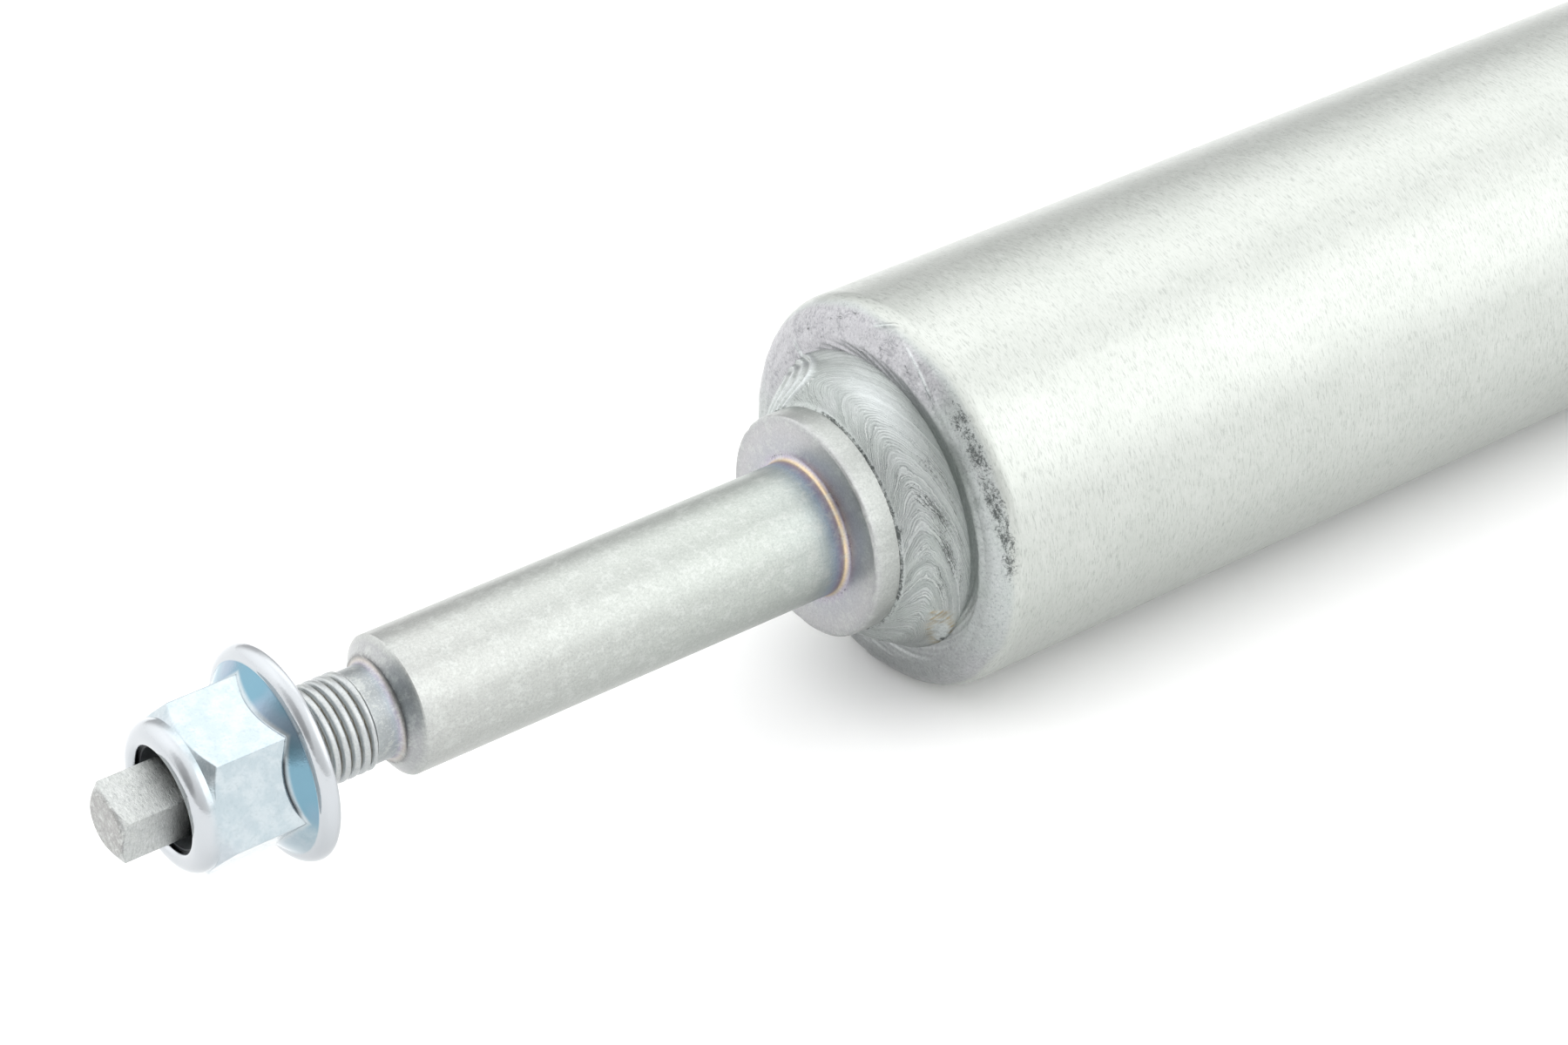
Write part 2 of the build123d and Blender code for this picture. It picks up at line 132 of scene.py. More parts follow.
def smooth(low, high, value):
    """0 below low, 1 above high, and a smooth rise between."""
    share = np.clip((value - low) / (high - low), 0, 1)
    return share * share * (3 - 2 * share)


def window(value, rise, fall):
    """1 from the end of rise to the start of fall, both (from, to), with smooth flanks."""
    return smooth(*rise, value) * (1 - smooth(*fall, value))


def bell(value, centre, width, power=2):
    """1 at the centre, and 1/e at a width to either side; a high power makes it flat-topped."""
    return np.exp(-(((value - centre) / width) ** power))


def soft_min(a, b, width):
    """The lower of two values, with the corner between them rounded."""
    share = np.clip(0.5 + 0.5 * (b - a) / width, 0, 1)
    return b + (a - b) * share - width * share * (1 - share)


def soft_max(a, b, width):
    """The higher of two values, with the corner between them rounded."""
    return -soft_min(-a, -b, width)


def turn_from(theta, degrees):
    """Signed angle from a direction, in degrees, between -180 and 180."""
    return (np.degrees(theta) - degrees + 180) % 360 - 180


def sector(theta, rise, fall):
    """A window round the axis, in degrees from +Z towards -Y."""
    return window(turn_from(theta, 0), rise, fall)


def ripple_noise(theta, waves, seed):
    """A smooth random curve round the axis, about -1 to 1, with the given wave counts."""
    draw = np.random.default_rng(seed)
    total = 0
    for n in waves:
        total = total + np.sin(n * theta + draw.uniform(0, 2 * math.pi)) * draw.uniform(0.5, 1)
    return total / math.sqrt(len(waves))


def table_noise(value, seed, size=4096):
    """Smooth random values, 0 to 1, read at a position along one line."""
    table = np.random.default_rng(seed).uniform(0, 1, size)
    cell = np.floor(value).astype(int)
    part = value - cell
    part = part * part * (3 - 2 * part)
    return table[cell % size] * (1 - part) + table[(cell + 1) % size] * part


# --- Profile and mesh helpers ------------------------------------------------
def arc(centre, radius, start, end, steps):
    """Points (x, r) on an arc; angles in degrees from +X towards larger radius."""
    turn = np.radians(np.linspace(start, end, steps))
    return [(centre[0] + radius * math.cos(a), centre[1] + radius * math.sin(a)) for a in turn]


def line(start, end, step):
    """Points from start to end, about step apart, without the last."""
    count = max(1, round(math.dist(start, end) / step))
    whole = np.array(end) - np.array(start)
    return [tuple(np.array(start) + whole * i / count) for i in range(count)]


def revolve(parts, columns):
    """Rows of each named part of a profile, and the grids x, r and angles it turns into."""
    rows, profile = {}, []
    for name, points in parts.items():
        rows[name] = slice(len(profile), len(profile) + len(points))
        profile = profile + points
    theta = angles(columns)[None, :]
    x, r = (np.array([point[i] for point in profile])[:, None] + 0 * theta for i in range(2))
    return rows, x, r, theta


def end_fans(rows, columns):
    """Triangles that close both ends of a grid onto the two points that follow its own."""
    around = np.arange(columns)
    onward = (around + 1) % columns
    last = (rows - 1) * columns
    first_fan = np.stack([onward, around, np.full(columns, rows * columns)], axis=-1)
    last_fan = np.stack([last + around, last + onward, np.full(columns, rows * columns + 1)], axis=-1)
    return np.vstack([first_fan, last_fan])


def skin(name, x, r, theta, closed=True, attributes=None):
    """A mesh turned about X from arrays (rows, columns) in millimetres. A closed skin
    joins its last row to its first; an open one ends in a point at both ends."""
    rows, columns = r.shape
    points = np.stack([x, -r * np.sin(theta), r * np.cos(theta)], axis=-1) * MM
    flat = points.reshape(-1, 3)
    row = np.arange(rows if closed else rows - 1)[:, None]
    column = np.arange(columns)[None, :]
    corner = [
        row * columns + column,
        row * columns + (column + 1) % columns,
        (row + 1) % rows * columns + (column + 1) % columns,
        (row + 1) % rows * columns + column,
    ]
    quads = np.stack(np.broadcast_arrays(*corner), axis=-1).reshape(-1, 4)
    fans = np.zeros((0, 3), int)
    if not closed:
        ends = [[x[0].mean() * MM, 0, 0], [x[-1].mean() * MM, 0, 0]]
        flat = np.vstack([flat, ends])
        fans = end_fans(rows, columns)
    mesh = bpy.data.meshes.new(name)
    mesh.vertices.add(len(flat))
    mesh.vertices.foreach_set("co", flat.astype(np.float32).ravel())
    loops = np.concatenate([quads.ravel(), fans.ravel()])
    mesh.loops.add(len(loops))
    mesh.loops.foreach_set("vertex_index", loops.astype(np.int32))
    sizes = np.concatenate([np.full(len(quads), 4), np.full(len(fans), 3)])
    mesh.polygons.add(len(sizes))
    mesh.polygons.foreach_set("loop_start", (np.cumsum(sizes) - sizes).astype(np.int32))
    mesh.polygons.foreach_set("use_smooth", np.ones(len(sizes), bool))
    for label, values in (attributes or {}).items():
        layer = mesh.attributes.new(label, "FLOAT", "POINT")
        full = np.zeros(len(flat), np.float32)
        full[: rows * columns] = np.broadcast_to(values, r.shape).ravel()
        layer.data.foreach_set("value", full)
    mesh.update(calc_edges=True)
    mesh.validate()
    face_outward(mesh)
    piece = bpy.data.objects.new(name, mesh)
    bpy.context.collection.objects.link(piece)
    return piece


def face_outward(mesh):
    """Turns a closed mesh's faces round if its volume comes out negative."""
    mesh.calc_loop_triangles()
    places = np.empty(len(mesh.vertices) * 3, np.float32)
    mesh.vertices.foreach_get("co", places)
    places = places.reshape(-1, 3)
    corners = np.empty(len(mesh.loop_triangles) * 3, np.int32)
    mesh.loop_triangles.foreach_get("vertices", corners)
    a, b, c = (places[corners.reshape(-1, 3)[:, i]] for i in range(3))
    if np.einsum("ij,ij->", a, np.cross(b, c)) < 0:
        mesh.flip_normals()


def along_profile(x, r):
    """Distance along a profile from its first row, in millimetres, one value a row."""
    steps = np.hypot(np.diff(x[:, 0]), np.diff(r[:, 0]))
    return np.concatenate([[0], np.cumsum(steps)])[:, None]


def seat(piece, body, node, material, crease=32):
    """Rides a piece on its body in place of its CAD node and gives it its finish."""
    piece.data.set_sharp_from_angle(angle=math.radians(crease))
    piece.data.materials.append(material)
    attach(piece, body)
    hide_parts(node)


# --- Material helpers --------------------------------------------------------
class Finish:
    """A material and short names for the nodes that it is built from."""

    def __init__(self, name, **sockets):
        self.material = bpy.data.materials.new(name)
        self.material.use_nodes = True
        self.tree = self.material.node_tree
        self.shader = self.tree.nodes["Principled BSDF"]
        for socket, value in sockets.items():
            self.put(self.shader, socket.replace("_", " "), value)

    def put(self, node, socket, value):
        """Links an output to a socket, or sets the socket's own value."""
        if isinstance(value, bpy.types.NodeSocket):
            self.tree.links.new(value, node.inputs[socket])
        else:
            node.inputs[socket].default_value = value

    def add(self, kind, inputs=None, **settings):
        """A new node with its settings, and its inputs linked or set."""
        node = self.tree.nodes.new(kind)
        for name, value in settings.items():
            setattr(node, name, value)
        for socket, value in (inputs or {}).items():
            self.put(node, socket, value)
        return node

    def place(self, stretch=(1, 1, 1)):
        """Object coordinates in millimetres, stretched."""
        coordinates = self.add("ShaderNodeTexCoord").outputs["Object"]
        scale = tuple(s / MM for s in stretch)
        return self.add("ShaderNodeMapping", {"Vector": coordinates, "Scale": scale}).outputs["Vector"]

    def noise(self, stretch=(1, 1, 1), detail=3.0, rough=0.55, distort=0.0):
        """Noise around 0.5, with as many waves to a millimetre along X, Y and Z as stretch says."""
        sockets = {
            "Vector": self.place(stretch),
            "Scale": 1.0,
            "Detail": detail,
            "Roughness": rough,
            "Distortion": distort,
        }
        return self.add("ShaderNodeTexNoise", sockets).outputs["Fac"]

    def strands(self, value, scale, detail=3.0, rough=0.6):
        """Noise along one line only, read at a value."""
        sockets = {"W": value, "Scale": scale, "Detail": detail, "Roughness": rough}
        return self.add("ShaderNodeTexNoise", sockets, noise_dimensions="1D").outputs["Fac"]

    def attribute(self, name):
        """A value that the mesh carries at its points."""
        return self.add("ShaderNodeAttribute", attribute_name=name).outputs["Fac"]

    def axis_and_radius(self):
        """Position along X and distance from it, in millimetres."""
        parts = self.add("ShaderNodeSeparateXYZ", {"Vector": self.place()}).outputs
        squares = self.calc("ADD", self.times(parts[1], parts[1]), self.times(parts[2], parts[2]))
        return parts[0], self.calc("SQRT", squares)

    def calc(self, operation, a, b=0.0):
        """One step of arithmetic on values."""
        return self.add("ShaderNodeMath", {0: a, 1: b}, operation=operation).outputs[0]

    def times(self, first, *others):
        """All the values multiplied together."""
        for other in others:
            first = self.calc("MULTIPLY", first, other)
        return first

    def rest(self, value):
        """What a share leaves of 1."""
        return self.calc("SUBTRACT", 1.0, value)

    def swing(self, noise):
        """A noise brought down to swing about 0."""
        return self.calc("SUBTRACT", noise, 0.5)

    def span(self, value, low, high, to_low=0.0, to_high=1.0):
        """A smooth step from to_low, below low, to to_high, above high."""
        sockets = {"Value": value, "From Min": low, "From Max": high, "To Min": to_low, "To Max": to_high}
        return self.add("ShaderNodeMapRange", sockets, interpolation_type="SMOOTHSTEP").outputs["Result"]

    def ramp(self, value, stops):
        """A colour ramp over real positions: stops are (position, colour)."""
        low, high = stops[0][0], stops[-1][0]
        sockets = {"Value": value, "From Min": low, "From Max": high}
        share = self.add("ShaderNodeMapRange", sockets).outputs["Result"]
        node = self.add("ShaderNodeValToRGB", {"Fac": share})
        elements = node.color_ramp.elements
        elements[0].color = (*stops[0][1], 1)
        elements[1].color = (*stops[-1][1], 1)
        for position, colour in stops[1:-1]:
            elements.new((position - low) / (high - low)).color = (*colour, 1)
        return node.outputs["Color"]

    def mix(self, share, a, b):
        """Colour a with a share of colour b over it."""
        node = self.add("ShaderNodeMix", data_type="RGBA")
        for index, value in ((0, share), (6, a), (7, b)):
            if isinstance(value, tuple):
                value = (*value, 1)
            self.put(node, index, value)
        return node.outputs[2]

    def bump(self, height, depth, normal=None):
        """A bump of so many millimetres for a height from 0 to 1."""
        sockets = {"Height": height, "Distance": depth * MM, "Strength": 1.0}
        if normal:
            sockets["Normal"] = normal
        return self.add("ShaderNodeBump", sockets).outputs["Normal"]

    def finish(self, colour, roughness=None, normal=None):
        """The material, with its colour and what else is given."""
        for socket, value in (("Base Color", colour), ("Roughness", roughness), ("Normal", normal)):
            if value is not None:
                self.put(self.shader, socket, value)
        return self.material




# --- Colours -----------------------------------------------------------------
TUBE_LIGHT = (0.468, 0.486, 0.462)
TUBE_DARK = (0.405, 0.427, 0.400)
GROUND_MARK = (0.56, 0.58, 0.56)
GROUND_FLECK = (0.24, 0.255, 0.24)
STEM_PATCH = (0.50, 0.52, 0.50)
STEM_RING = (0.24, 0.26, 0.25)
STEM_GRAIN_DARK = (0.23, 0.245, 0.24)
STEM_GRAIN_LIGHT = (0.54, 0.555, 0.545)
THREAD_GROOVE = (0.30, 0.27, 0.22)
WORN_AND_SHADED_DARK = (0.09, 0.095, 0.095)
MILLED_DARK = (0.22, 0.23, 0.23)
MILLED_LIGHT = (0.56, 0.575, 0.57)
TIP_FACE = (0.265, 0.262, 0.255)
EDGE_SHADE = (0.20, 0.20, 0.20)
GOLD = (0.62, 0.49, 0.30)
PURPLE = (0.33, 0.28, 0.40)
BLUE = (0.34, 0.42, 0.50)
NUT_DARK = (0.37, 0.43, 0.46)
NUT_LIGHT = (0.435, 0.485, 0.51)
NUT_GRAIN = (0.28, 0.33, 0.35)
NUT_LILAC = (0.49, 0.48, 0.52)
NUT_BLUE_DEEP = (0.145, 0.265, 0.335)
NUT_BLUE_GREY = (0.235, 0.305, 0.38)
NUT_RUBBED = (0.44, 0.46, 0.48)
CREVICE_SHADE = (0.03, 0.035, 0.04)
WELD_GREY = (0.372, 0.40, 0.388)
WELD_COOL_GREY = (0.385, 0.405, 0.402)
WELD_LAVENDER = (0.385, 0.372, 0.398)
WELD_SCRATCH = (0.50, 0.51, 0.51)
WELD_BAND = (0.255, 0.28, 0.27)
WELD_HAIR_DARK = (0.17, 0.185, 0.18)
WELD_HAIR_LIGHT = (0.56, 0.58, 0.57)
WELD_PALE = (0.52, 0.55, 0.55)
WELD_GOLD = (0.30, 0.235, 0.13)
WELD_CURL = (0.22, 0.22, 0.235)
WELD_SHADE = (0.235, 0.265, 0.25)
WELD_SPECK = (0.19, 0.205, 0.20)
WELD_GLINT = (0.55, 0.565, 0.56)
SOOT = (0.065, 0.072, 0.07)


# --- Finishes ----------------------------------------------------------------
def ground_surface(f):
    """Colour, roughness and height of zinc over steel ground round: short fine marks."""
    marks = f.noise((3.2, 0.5, 0.5), detail=4.0, rough=0.7)
    flecks = f.noise((4.8, 0.85, 0.85), detail=3.0, rough=0.7)
    blotches = f.noise((0.10, 0.16, 0.16), detail=5.0, rough=0.75)
    colour = f.mix(f.span(blotches, 0.3, 0.7, 0.3, 0.8), TUBE_DARK, TUBE_LIGHT)
    colour = f.mix(f.span(marks, 0.45, 0.75, 0.0, 0.45), colour, GROUND_MARK)
    colour = f.mix(f.span(flecks, 0.50, 0.68, 0.0, 0.52), colour, GROUND_FLECK)
    return colour, f.span(marks, 0.3, 0.7, 0.27, 0.42), marks


def tube_finish():
    """The outer tube's finish."""
    f = Finish("zinc_ground_round", Metallic=1.0)
    colour, roughness, marks = ground_surface(f)
    return f.finish(colour, roughness, f.bump(marks, 0.03))


def stem_finish(stops):
    """Turned and zinc plated bar; stops give the colours along its profile."""
    f = Finish("zinc_turned", Metallic=1.0)
    x, radius = f.axis_and_radius()
    wear_and_shade = f.attribute("wear_and_shade")
    milled = f.attribute("milled")
    blotches = f.noise((0.45, 0.6, 0.6), detail=7.0, rough=0.78)
    rings = f.noise((4.5, 0.02, 0.02), detail=3.0, rough=0.6)
    grit = f.noise((3.0, 3.0, 3.0), detail=4.0, rough=0.8)
    cuts = f.noise((4.0, 1.1, 1.1), detail=5.0, rough=0.8, distort=0.5)
    pits = f.noise((1.6, 1.6, 1.6), detail=3.0)
    colour = f.ramp(f.attribute("along"), stops)
    colour = f.mix(f.span(blotches, 0.50, 0.60, 0.0, 0.48), colour, STEM_PATCH)
    colour = f.mix(f.span(rings, 0.5, 0.7, 0.0, 0.12), colour, STEM_RING)
    colour = f.mix(f.span(grit, 0.50, 0.64, 0.0, 0.34), colour, STEM_GRAIN_DARK)
    colour = f.mix(f.span(grit, 0.48, 0.34, 0.0, 0.34), colour, STEM_GRAIN_LIGHT)
    in_thread = f.calc("GREATER_THAN", x, STUD_START)
    groove = f.times(f.span(radius, ROOT_R + 0.04, ROOT_R + 0.2, 0.85, 0.0), in_thread)
    colour = f.mix(groove, colour, THREAD_GROOVE)
    # The tip's worn corners and end and a patchy band at the fillet's end are darkened here, and painted
    # shade is laid where the tip and thread run into the nut.
    broken_wear_and_shade = f.calc("ADD", wear_and_shade, f.times(f.swing(grit), 2.0))
    darkened = f.times(f.span(broken_wear_and_shade, 0.40, 0.9, 0.0, 0.85), f.span(wear_and_shade, 0.05, 0.3))
    colour = f.mix(darkened, colour, WORN_AND_SHADED_DARK)
    colour = f.mix(f.times(f.span(cuts, 0.50, 0.66, 0.0, 0.5), milled), colour, MILLED_DARK)
    colour = f.mix(f.times(f.span(cuts, 0.50, 0.36, 0.0, 0.6), milled), colour, MILLED_LIGHT)
    roughness = f.span(blotches, 0.3, 0.7, 0.30, 0.42)
    normal = f.bump(f.times(cuts, milled), 0.06, f.bump(pits, 0.01, f.bump(rings, 0.008)))
    return f.finish(colour, roughness, normal)


def nut_finish():
    """Bright blue-passivated zinc with faint mottling."""
    f = Finish("zinc_blue_bright", Metallic=1.0)
    mottle = f.noise((0.45, 0.45, 0.45), detail=5.0, rough=0.7)
    grain = f.noise((2.5, 2.5, 2.5), detail=3.0)
    wash = f.noise((0.12, 0.12, 0.12), detail=1.0)
    colour = f.mix(f.span(mottle, 0.4, 0.62), NUT_DARK, NUT_LIGHT)
    colour = f.mix(f.span(grain, 0.5, 0.68, 0.0, 0.25), colour, NUT_GRAIN)
    colour = f.mix(f.span(wash, 0.5, 0.7, 0.0, 0.25), colour, NUT_LILAC)
    blue = f.mix(f.span(wash, 0.45, 0.65), NUT_BLUE_DEEP, NUT_BLUE_GREY)
    colour = f.mix(f.attribute("cone"), colour, blue)
    colour = f.mix(f.attribute("worn"), colour, NUT_RUBBED)
    # Painted shade in the crease between hexagon and cone, in the mouth and in the insert's groove.
    colour = f.mix(f.attribute("crevice_shade"), colour, CREVICE_SHADE)
    roughness = f.span(mottle, 0.35, 0.7, 0.10, 0.20)
    return f.finish(colour, roughness, f.bump(grain, 0.008, f.bump(mottle, 0.03)))


def weld_lines(f, colour, hair, phase, patchy, lined):
    """Broad bands and hair-fine dark and light lines along a weld's ripples."""
    broad = f.strands(phase, 0.33, detail=2.0, rough=0.6)
    bands = f.times(f.span(broad, 0.38, 0.52, 0.55, 0.0), lined)
    dark = f.times(f.span(hair, 0.36, 0.52, 0.95, 0.0), f.span(patchy, 0.35, 0.62, 1.0, 0.35), lined)
    light = f.times(f.span(hair, 0.54, 0.70, 0.0, 0.75), lined)
    colour = f.mix(bands, colour, WELD_BAND)
    colour = f.mix(dark, colour, WELD_HAIR_DARK)
    return f.mix(light, colour, WELD_HAIR_LIGHT)


def weld_curls(f, colour, patchy):
    """Thin dark curls where the weld is stained."""
    swirl = f.noise((0.30, 0.30, 0.30), detail=3.0, rough=0.6, distort=2.5)
    edge = f.calc("ABSOLUTE", f.swing(swirl))
    curls = f.times(f.span(edge, 0.0, 0.09, 0.60, 0.0), f.span(patchy, 0.42, 0.58), f.attribute("stain"))
    return f.mix(curls, colour, WELD_CURL)


def weld_soot(f, colour, grit, hair, soot, lined):
    """Soot, broken up by grit, by ragged patches off the lines and by the hairs on them."""
    rag = f.noise((0.75, 0.45, 0.45), detail=5.0, rough=0.75, distort=0.8)
    level = f.calc("ADD", soot, f.times(f.swing(grit), 2.6))
    level = f.calc("ADD", level, f.times(f.swing(rag), 2.8, f.rest(lined)))
    on_hairs = f.times(f.calc("SUBTRACT", 0.5, hair), f.times(lined, 3.0))
    level = f.calc("ADD", level, on_hairs)
    return f.mix(f.times(f.span(level, 0.42, 1.25, 0.0, 0.90), f.span(soot, 0.02, 0.25)), colour, SOOT)


def weld_finish():
    """Zinc over a weld bead: hair-fine ripple lines, soot in the lows, pale and gold patches."""
    f = Finish("zinc_weld", Metallic=1.0)
    lined, ground, soot = (f.attribute(name) for name in ("lined", "ground", "soot"))
    waver = f.noise((0.9, 0.9, 0.9), detail=4.0, rough=0.7)
    phase = f.calc("ADD", f.attribute("phase"), f.times(f.swing(waver), 3.2))
    hair = f.strands(phase, 1.5, detail=5.0, rough=0.8)
    wash = f.noise((0.2, 0.2, 0.2), detail=3.0)
    scratch = f.noise((1.3, 1.3, 1.3), detail=6.0, rough=0.8, distort=0.4)
    grit = f.noise((3.2, 2.2, 2.2), detail=4.0, rough=0.8, distort=0.3)
    patchy = f.noise((0.35, 0.35, 0.35), detail=3.0, rough=0.7)
    colour = f.mix(f.span(wash, 0.4, 0.62), WELD_GREY, WELD_COOL_GREY)
    colour = f.mix(f.times(f.attribute("stain"), 0.8), colour, WELD_LAVENDER)
    colour = f.mix(f.span(scratch, 0.5, 0.7, 0.0, 0.3), colour, WELD_SCRATCH)
    colour = weld_lines(f, colour, hair, phase, patchy, lined)
    colour = f.mix(f.attribute("pale"), colour, WELD_PALE)
    colour = f.mix(f.attribute("gold"), colour, WELD_GOLD)
    colour = weld_curls(f, colour, patchy)
    colour = f.mix(f.attribute("shade"), colour, WELD_SHADE)
    ground_colour, ground_roughness, marks = ground_surface(f)
    colour = f.mix(ground, colour, ground_colour)
    as_cast = f.rest(ground)
    grainy = f.times(as_cast, f.rest(f.times(lined, 0.75)))
    colour = f.mix(f.times(f.span(grit, 0.50, 0.66, 0.0, 0.58), grainy), colour, WELD_SPECK)
    colour = f.mix(f.times(f.span(grit, 0.46, 0.32, 0.0, 0.50), grainy), colour, WELD_GLINT)
    colour = weld_soot(f, colour, grit, hair, soot, lined)
    roughness = f.times(f.span(scratch, 0.3, 0.7, 0.28, 0.42), as_cast)
    roughness = f.calc("ADD", roughness, f.times(ground_roughness, ground))
    normal = f.bump(f.times(hair, lined), 0.06, f.bump(f.times(scratch, as_cast), 0.035))
    normal = f.bump(f.times(grit, soot), 0.12, normal)
    normal = f.bump(f.times(marks, ground), 0.03, normal)
    return f.finish(colour, roughness, normal)


def plain_metal(name, light, dark, roughness, stretch=(1, 1, 1), depth=0.01):
    """Machined or plated metal with grain in one direction."""
    f = Finish(name, Metallic=1.0)
    grain = f.noise(tuple(2.5 * s for s in stretch), detail=3.0)
    wash = f.noise((0.1, 0.1, 0.1), detail=3.0)
    colour = f.mix(f.span(wash, 0.35, 0.65), dark, light)
    rough = f.span(grain, 0.3, 0.7, roughness * 0.8, roughness * 1.25)
    return f.finish(colour, rough, f.bump(grain, depth))


def soft_matt(name, light, dark, roughness):
    """Rubber or plastic with a fine moulded grain and dusty patches."""
    f = Finish(name)
    grain = f.noise((4, 4, 4), detail=4.0)
    dust = f.noise((0.25, 0.25, 0.25), detail=4.0)
    colour = f.mix(f.span(dust, 0.45, 0.7), dark, light)
    rough = f.span(dust, 0.3, 0.7, roughness - 0.08, roughness + 0.08)
    return f.finish(colour, rough, f.bump(grain, 0.03))


# --- Stem --------------------------------------------------------------------
def stem_profile():
    """The named parts of the stem's outline, as points (x, r)."""
    tip = line((TIP, 0.4), (TIP, TIP_FACE_R), 0.4)
    tip += line((TIP, TIP_FACE_R), (TIP + TIP_CHAMFER, TIP_TURNED_R), 0.06)
    tip += line((TIP + TIP_CHAMFER, TIP_TURNED_R), (STUD_START, TIP_TURNED_R), 0.5)
    stud = line((STUD_START, STUD_CORE_R), (STUD_END, STUD_CORE_R), 0.08)
    neck = line((STUD_END, NECK_R), (-FILLET, NECK_R), 0.4)
    neck += arc((-FILLET, NECK_R + FILLET), FILLET, -90, 0, 8)
    step = [(0.0, SHOULDER_R), (0.08, SHOULDER_R + 0.14)]
    step += line((0.14, SHOULDER_R + 0.22), (1.62, SHANK_R - 0.1), 0.2)
    step += [(1.62, SHANK_R - 0.1), (1.76, SHANK_R)]
    shank = line((2.4, SHANK_R), (COLLAR_X - FILLET, SHANK_R), 1.2)
    shank += arc((COLLAR_X - FILLET, SHANK_R + FILLET), FILLET, -90, 0, 9)
    bevel_r = COLLAR_R - COLLAR_BEVEL
    collar = line((COLLAR_X, SHANK_R + FILLET + 0.3), (COLLAR_X, bevel_r - 0.12), 0.6)
    collar += arc((COLLAR_X + COLLAR_BEVEL, bevel_r), COLLAR_BEVEL, 180, 90, 7)
    collar += line((COLLAR_X + 1.5, COLLAR_R), (CAP_X, COLLAR_R), 0.8)
    back = [(CAP_X, COLLAR_R), (CAP_X, SPIGOT_R), (SPIGOT_END - 1, SPIGOT_R), (SPIGOT_END, SPIGOT_R - 1)]
    names = ("tip", "stud", "neck", "step", "shank", "collar", "back")
    return dict(zip(names, (tip, stud, neck, step, shank, collar, back)))


def square_radius(theta):
    """Radius of the milled square with its turned corners."""
    side = (theta - math.radians(TIP_TURN) + math.pi / 4) % (math.pi / 2) - math.pi / 4
    return soft_min(TIP_FLAT / np.cos(side), TIP_CORNER_R, 0.25)


def thread_radius(x, theta):
    """Radius of a helix with broad round crests, from its lead-in to its run-out."""
    phase = (x - PITCH * theta / (2 * math.pi)) / PITCH % 1
    rise = np.clip((np.abs(phase - 0.5) * 2 - 0.04) / 0.96, 0, 1)
    thread = ROOT_R + (CREST_R - ROOT_R) * (1 - (1 - rise) ** 3.4)
    thread = soft_min(thread, STUD_CORE_R + (x - STUD_START) * 1.4, 0.15)
    run_out = smooth(STUD_END - 0.5, STUD_END - 0.05, x)
    return thread * (1 - run_out) + NECK_R * run_out


def stem_colours(start, end):
    """Colour stops along the profile: start holds where each part begins, and end is its length."""
    stud, neck, shoulder = start["stud"], start["neck"], start["step"]
    fillet = start["collar"] - 2 * FILLET  # about where the shank turns up into the collar
    return [
        (0.0, TIP_FACE),
        (3.6, TIP_FACE),
        # Painted shade: a dark line on the edge between the tip's face and its chamfer.
        (3.8, EDGE_SHADE),
        (4.6, (0.42, 0.435, 0.428)),
        (stud, (0.41, 0.425, 0.418)),
        (stud + 1.5, (0.43, 0.445, 0.45)),
        (neck - 0.6, (0.40, 0.42, 0.425)),
        (neck, (0.285, 0.305, 0.31)),
        (shoulder - 2.4, (0.27, 0.29, 0.30)),
        (shoulder - 1.6, (0.27, 0.305, 0.335)),
        (shoulder - 0.95, (0.33, 0.30, 0.375)),
        (shoulder - 0.5, (0.44, 0.405, 0.36)),
        (shoulder - 0.35, (0.40, 0.375, 0.33)),
        # Painted shade: a dark ring on the shoulder's narrow face.
        (shoulder, EDGE_SHADE),
        (shoulder + 0.3, (0.36, 0.365, 0.37)),
        (shoulder + 2.0, (0.35, 0.355, 0.36)),
        (shoulder + 2.4, (0.385, 0.395, 0.385)),
        (shoulder + 6.0, (0.39, 0.40, 0.385)),
        (fillet - 12.0, (0.37, 0.395, 0.37)),
        (fillet - 4.5, (0.37, 0.40, 0.38)),
        (fillet - 2.4, (0.37, 0.42, 0.42)),
        (fillet - 1.2, BLUE),
        (fillet - 0.25, PURPLE),
        (fillet + 0.2, GOLD),
        (fillet + 0.5, GOLD),
        (fillet + 0.8, (0.38, 0.34, 0.42)),
        (fillet + 2.2, (0.37, 0.375, 0.40)),
        (fillet + 5.4, (0.40, 0.395, 0.405)),
        (fillet + 6.1, (0.36, 0.36, 0.37)),
        (fillet + 7.9, (0.375, 0.39, 0.375)),
        (end, (0.37, 0.39, 0.37)),
    ]


def stem_wear_and_shade(x, r, along, theta, fillet_end):
    """How dark each point is painted: worn tip corners and end, a patchy dark band at the fillet's end,
    and painted shade where the tip runs into the nut and on the thread's start inside it.
    """
    on_tip = (x < STUD_START) * (x > TIP + 0.02)
    corners = smooth(TIP_CORNER_R - 0.5, TIP_CORNER_R - 0.1, r) * on_tip
    patchy = 0.4 + 0.6 * smooth(-0.3, 0.8, ripple_noise(theta, (4, 7, 9), SEED))
    wear_and_shade = 0.55 * bell(along, fillet_end, 0.5) * patchy
    wear_and_shade = wear_and_shade + 0.30 * corners + 0.34 * on_tip * (1 - smooth(TIP + 0.3, TIP + 1.0, x))
    # Painted shade: the tip darkens where it runs into the nut, and the thread's start inside the nut is
    # painted near black.
    wear_and_shade = wear_and_shade + 0.30 * smooth(TIP + 6.2, TIP + 8.6, x) * on_tip
    return wear_and_shade + 0.95 * smooth(STUD_START - 1.3, STUD_START - 0.5, x) * (x < STUD_START + 1.2)


NICKS = 26


def collar_nicks(theta):
    """Depth of the small dents in the collar's edge, in millimetres."""
    draw = np.random.default_rng(SEED)
    depth = 0 * theta
    for _ in range(NICKS):
        centre, width = draw.uniform(0, 2 * math.pi), draw.uniform(0.012, 0.05)
        away = (theta - centre + math.pi) % (2 * math.pi) - math.pi
        depth = depth + draw.uniform(0.03, 0.14) * bell(away, 0, width)
    return depth


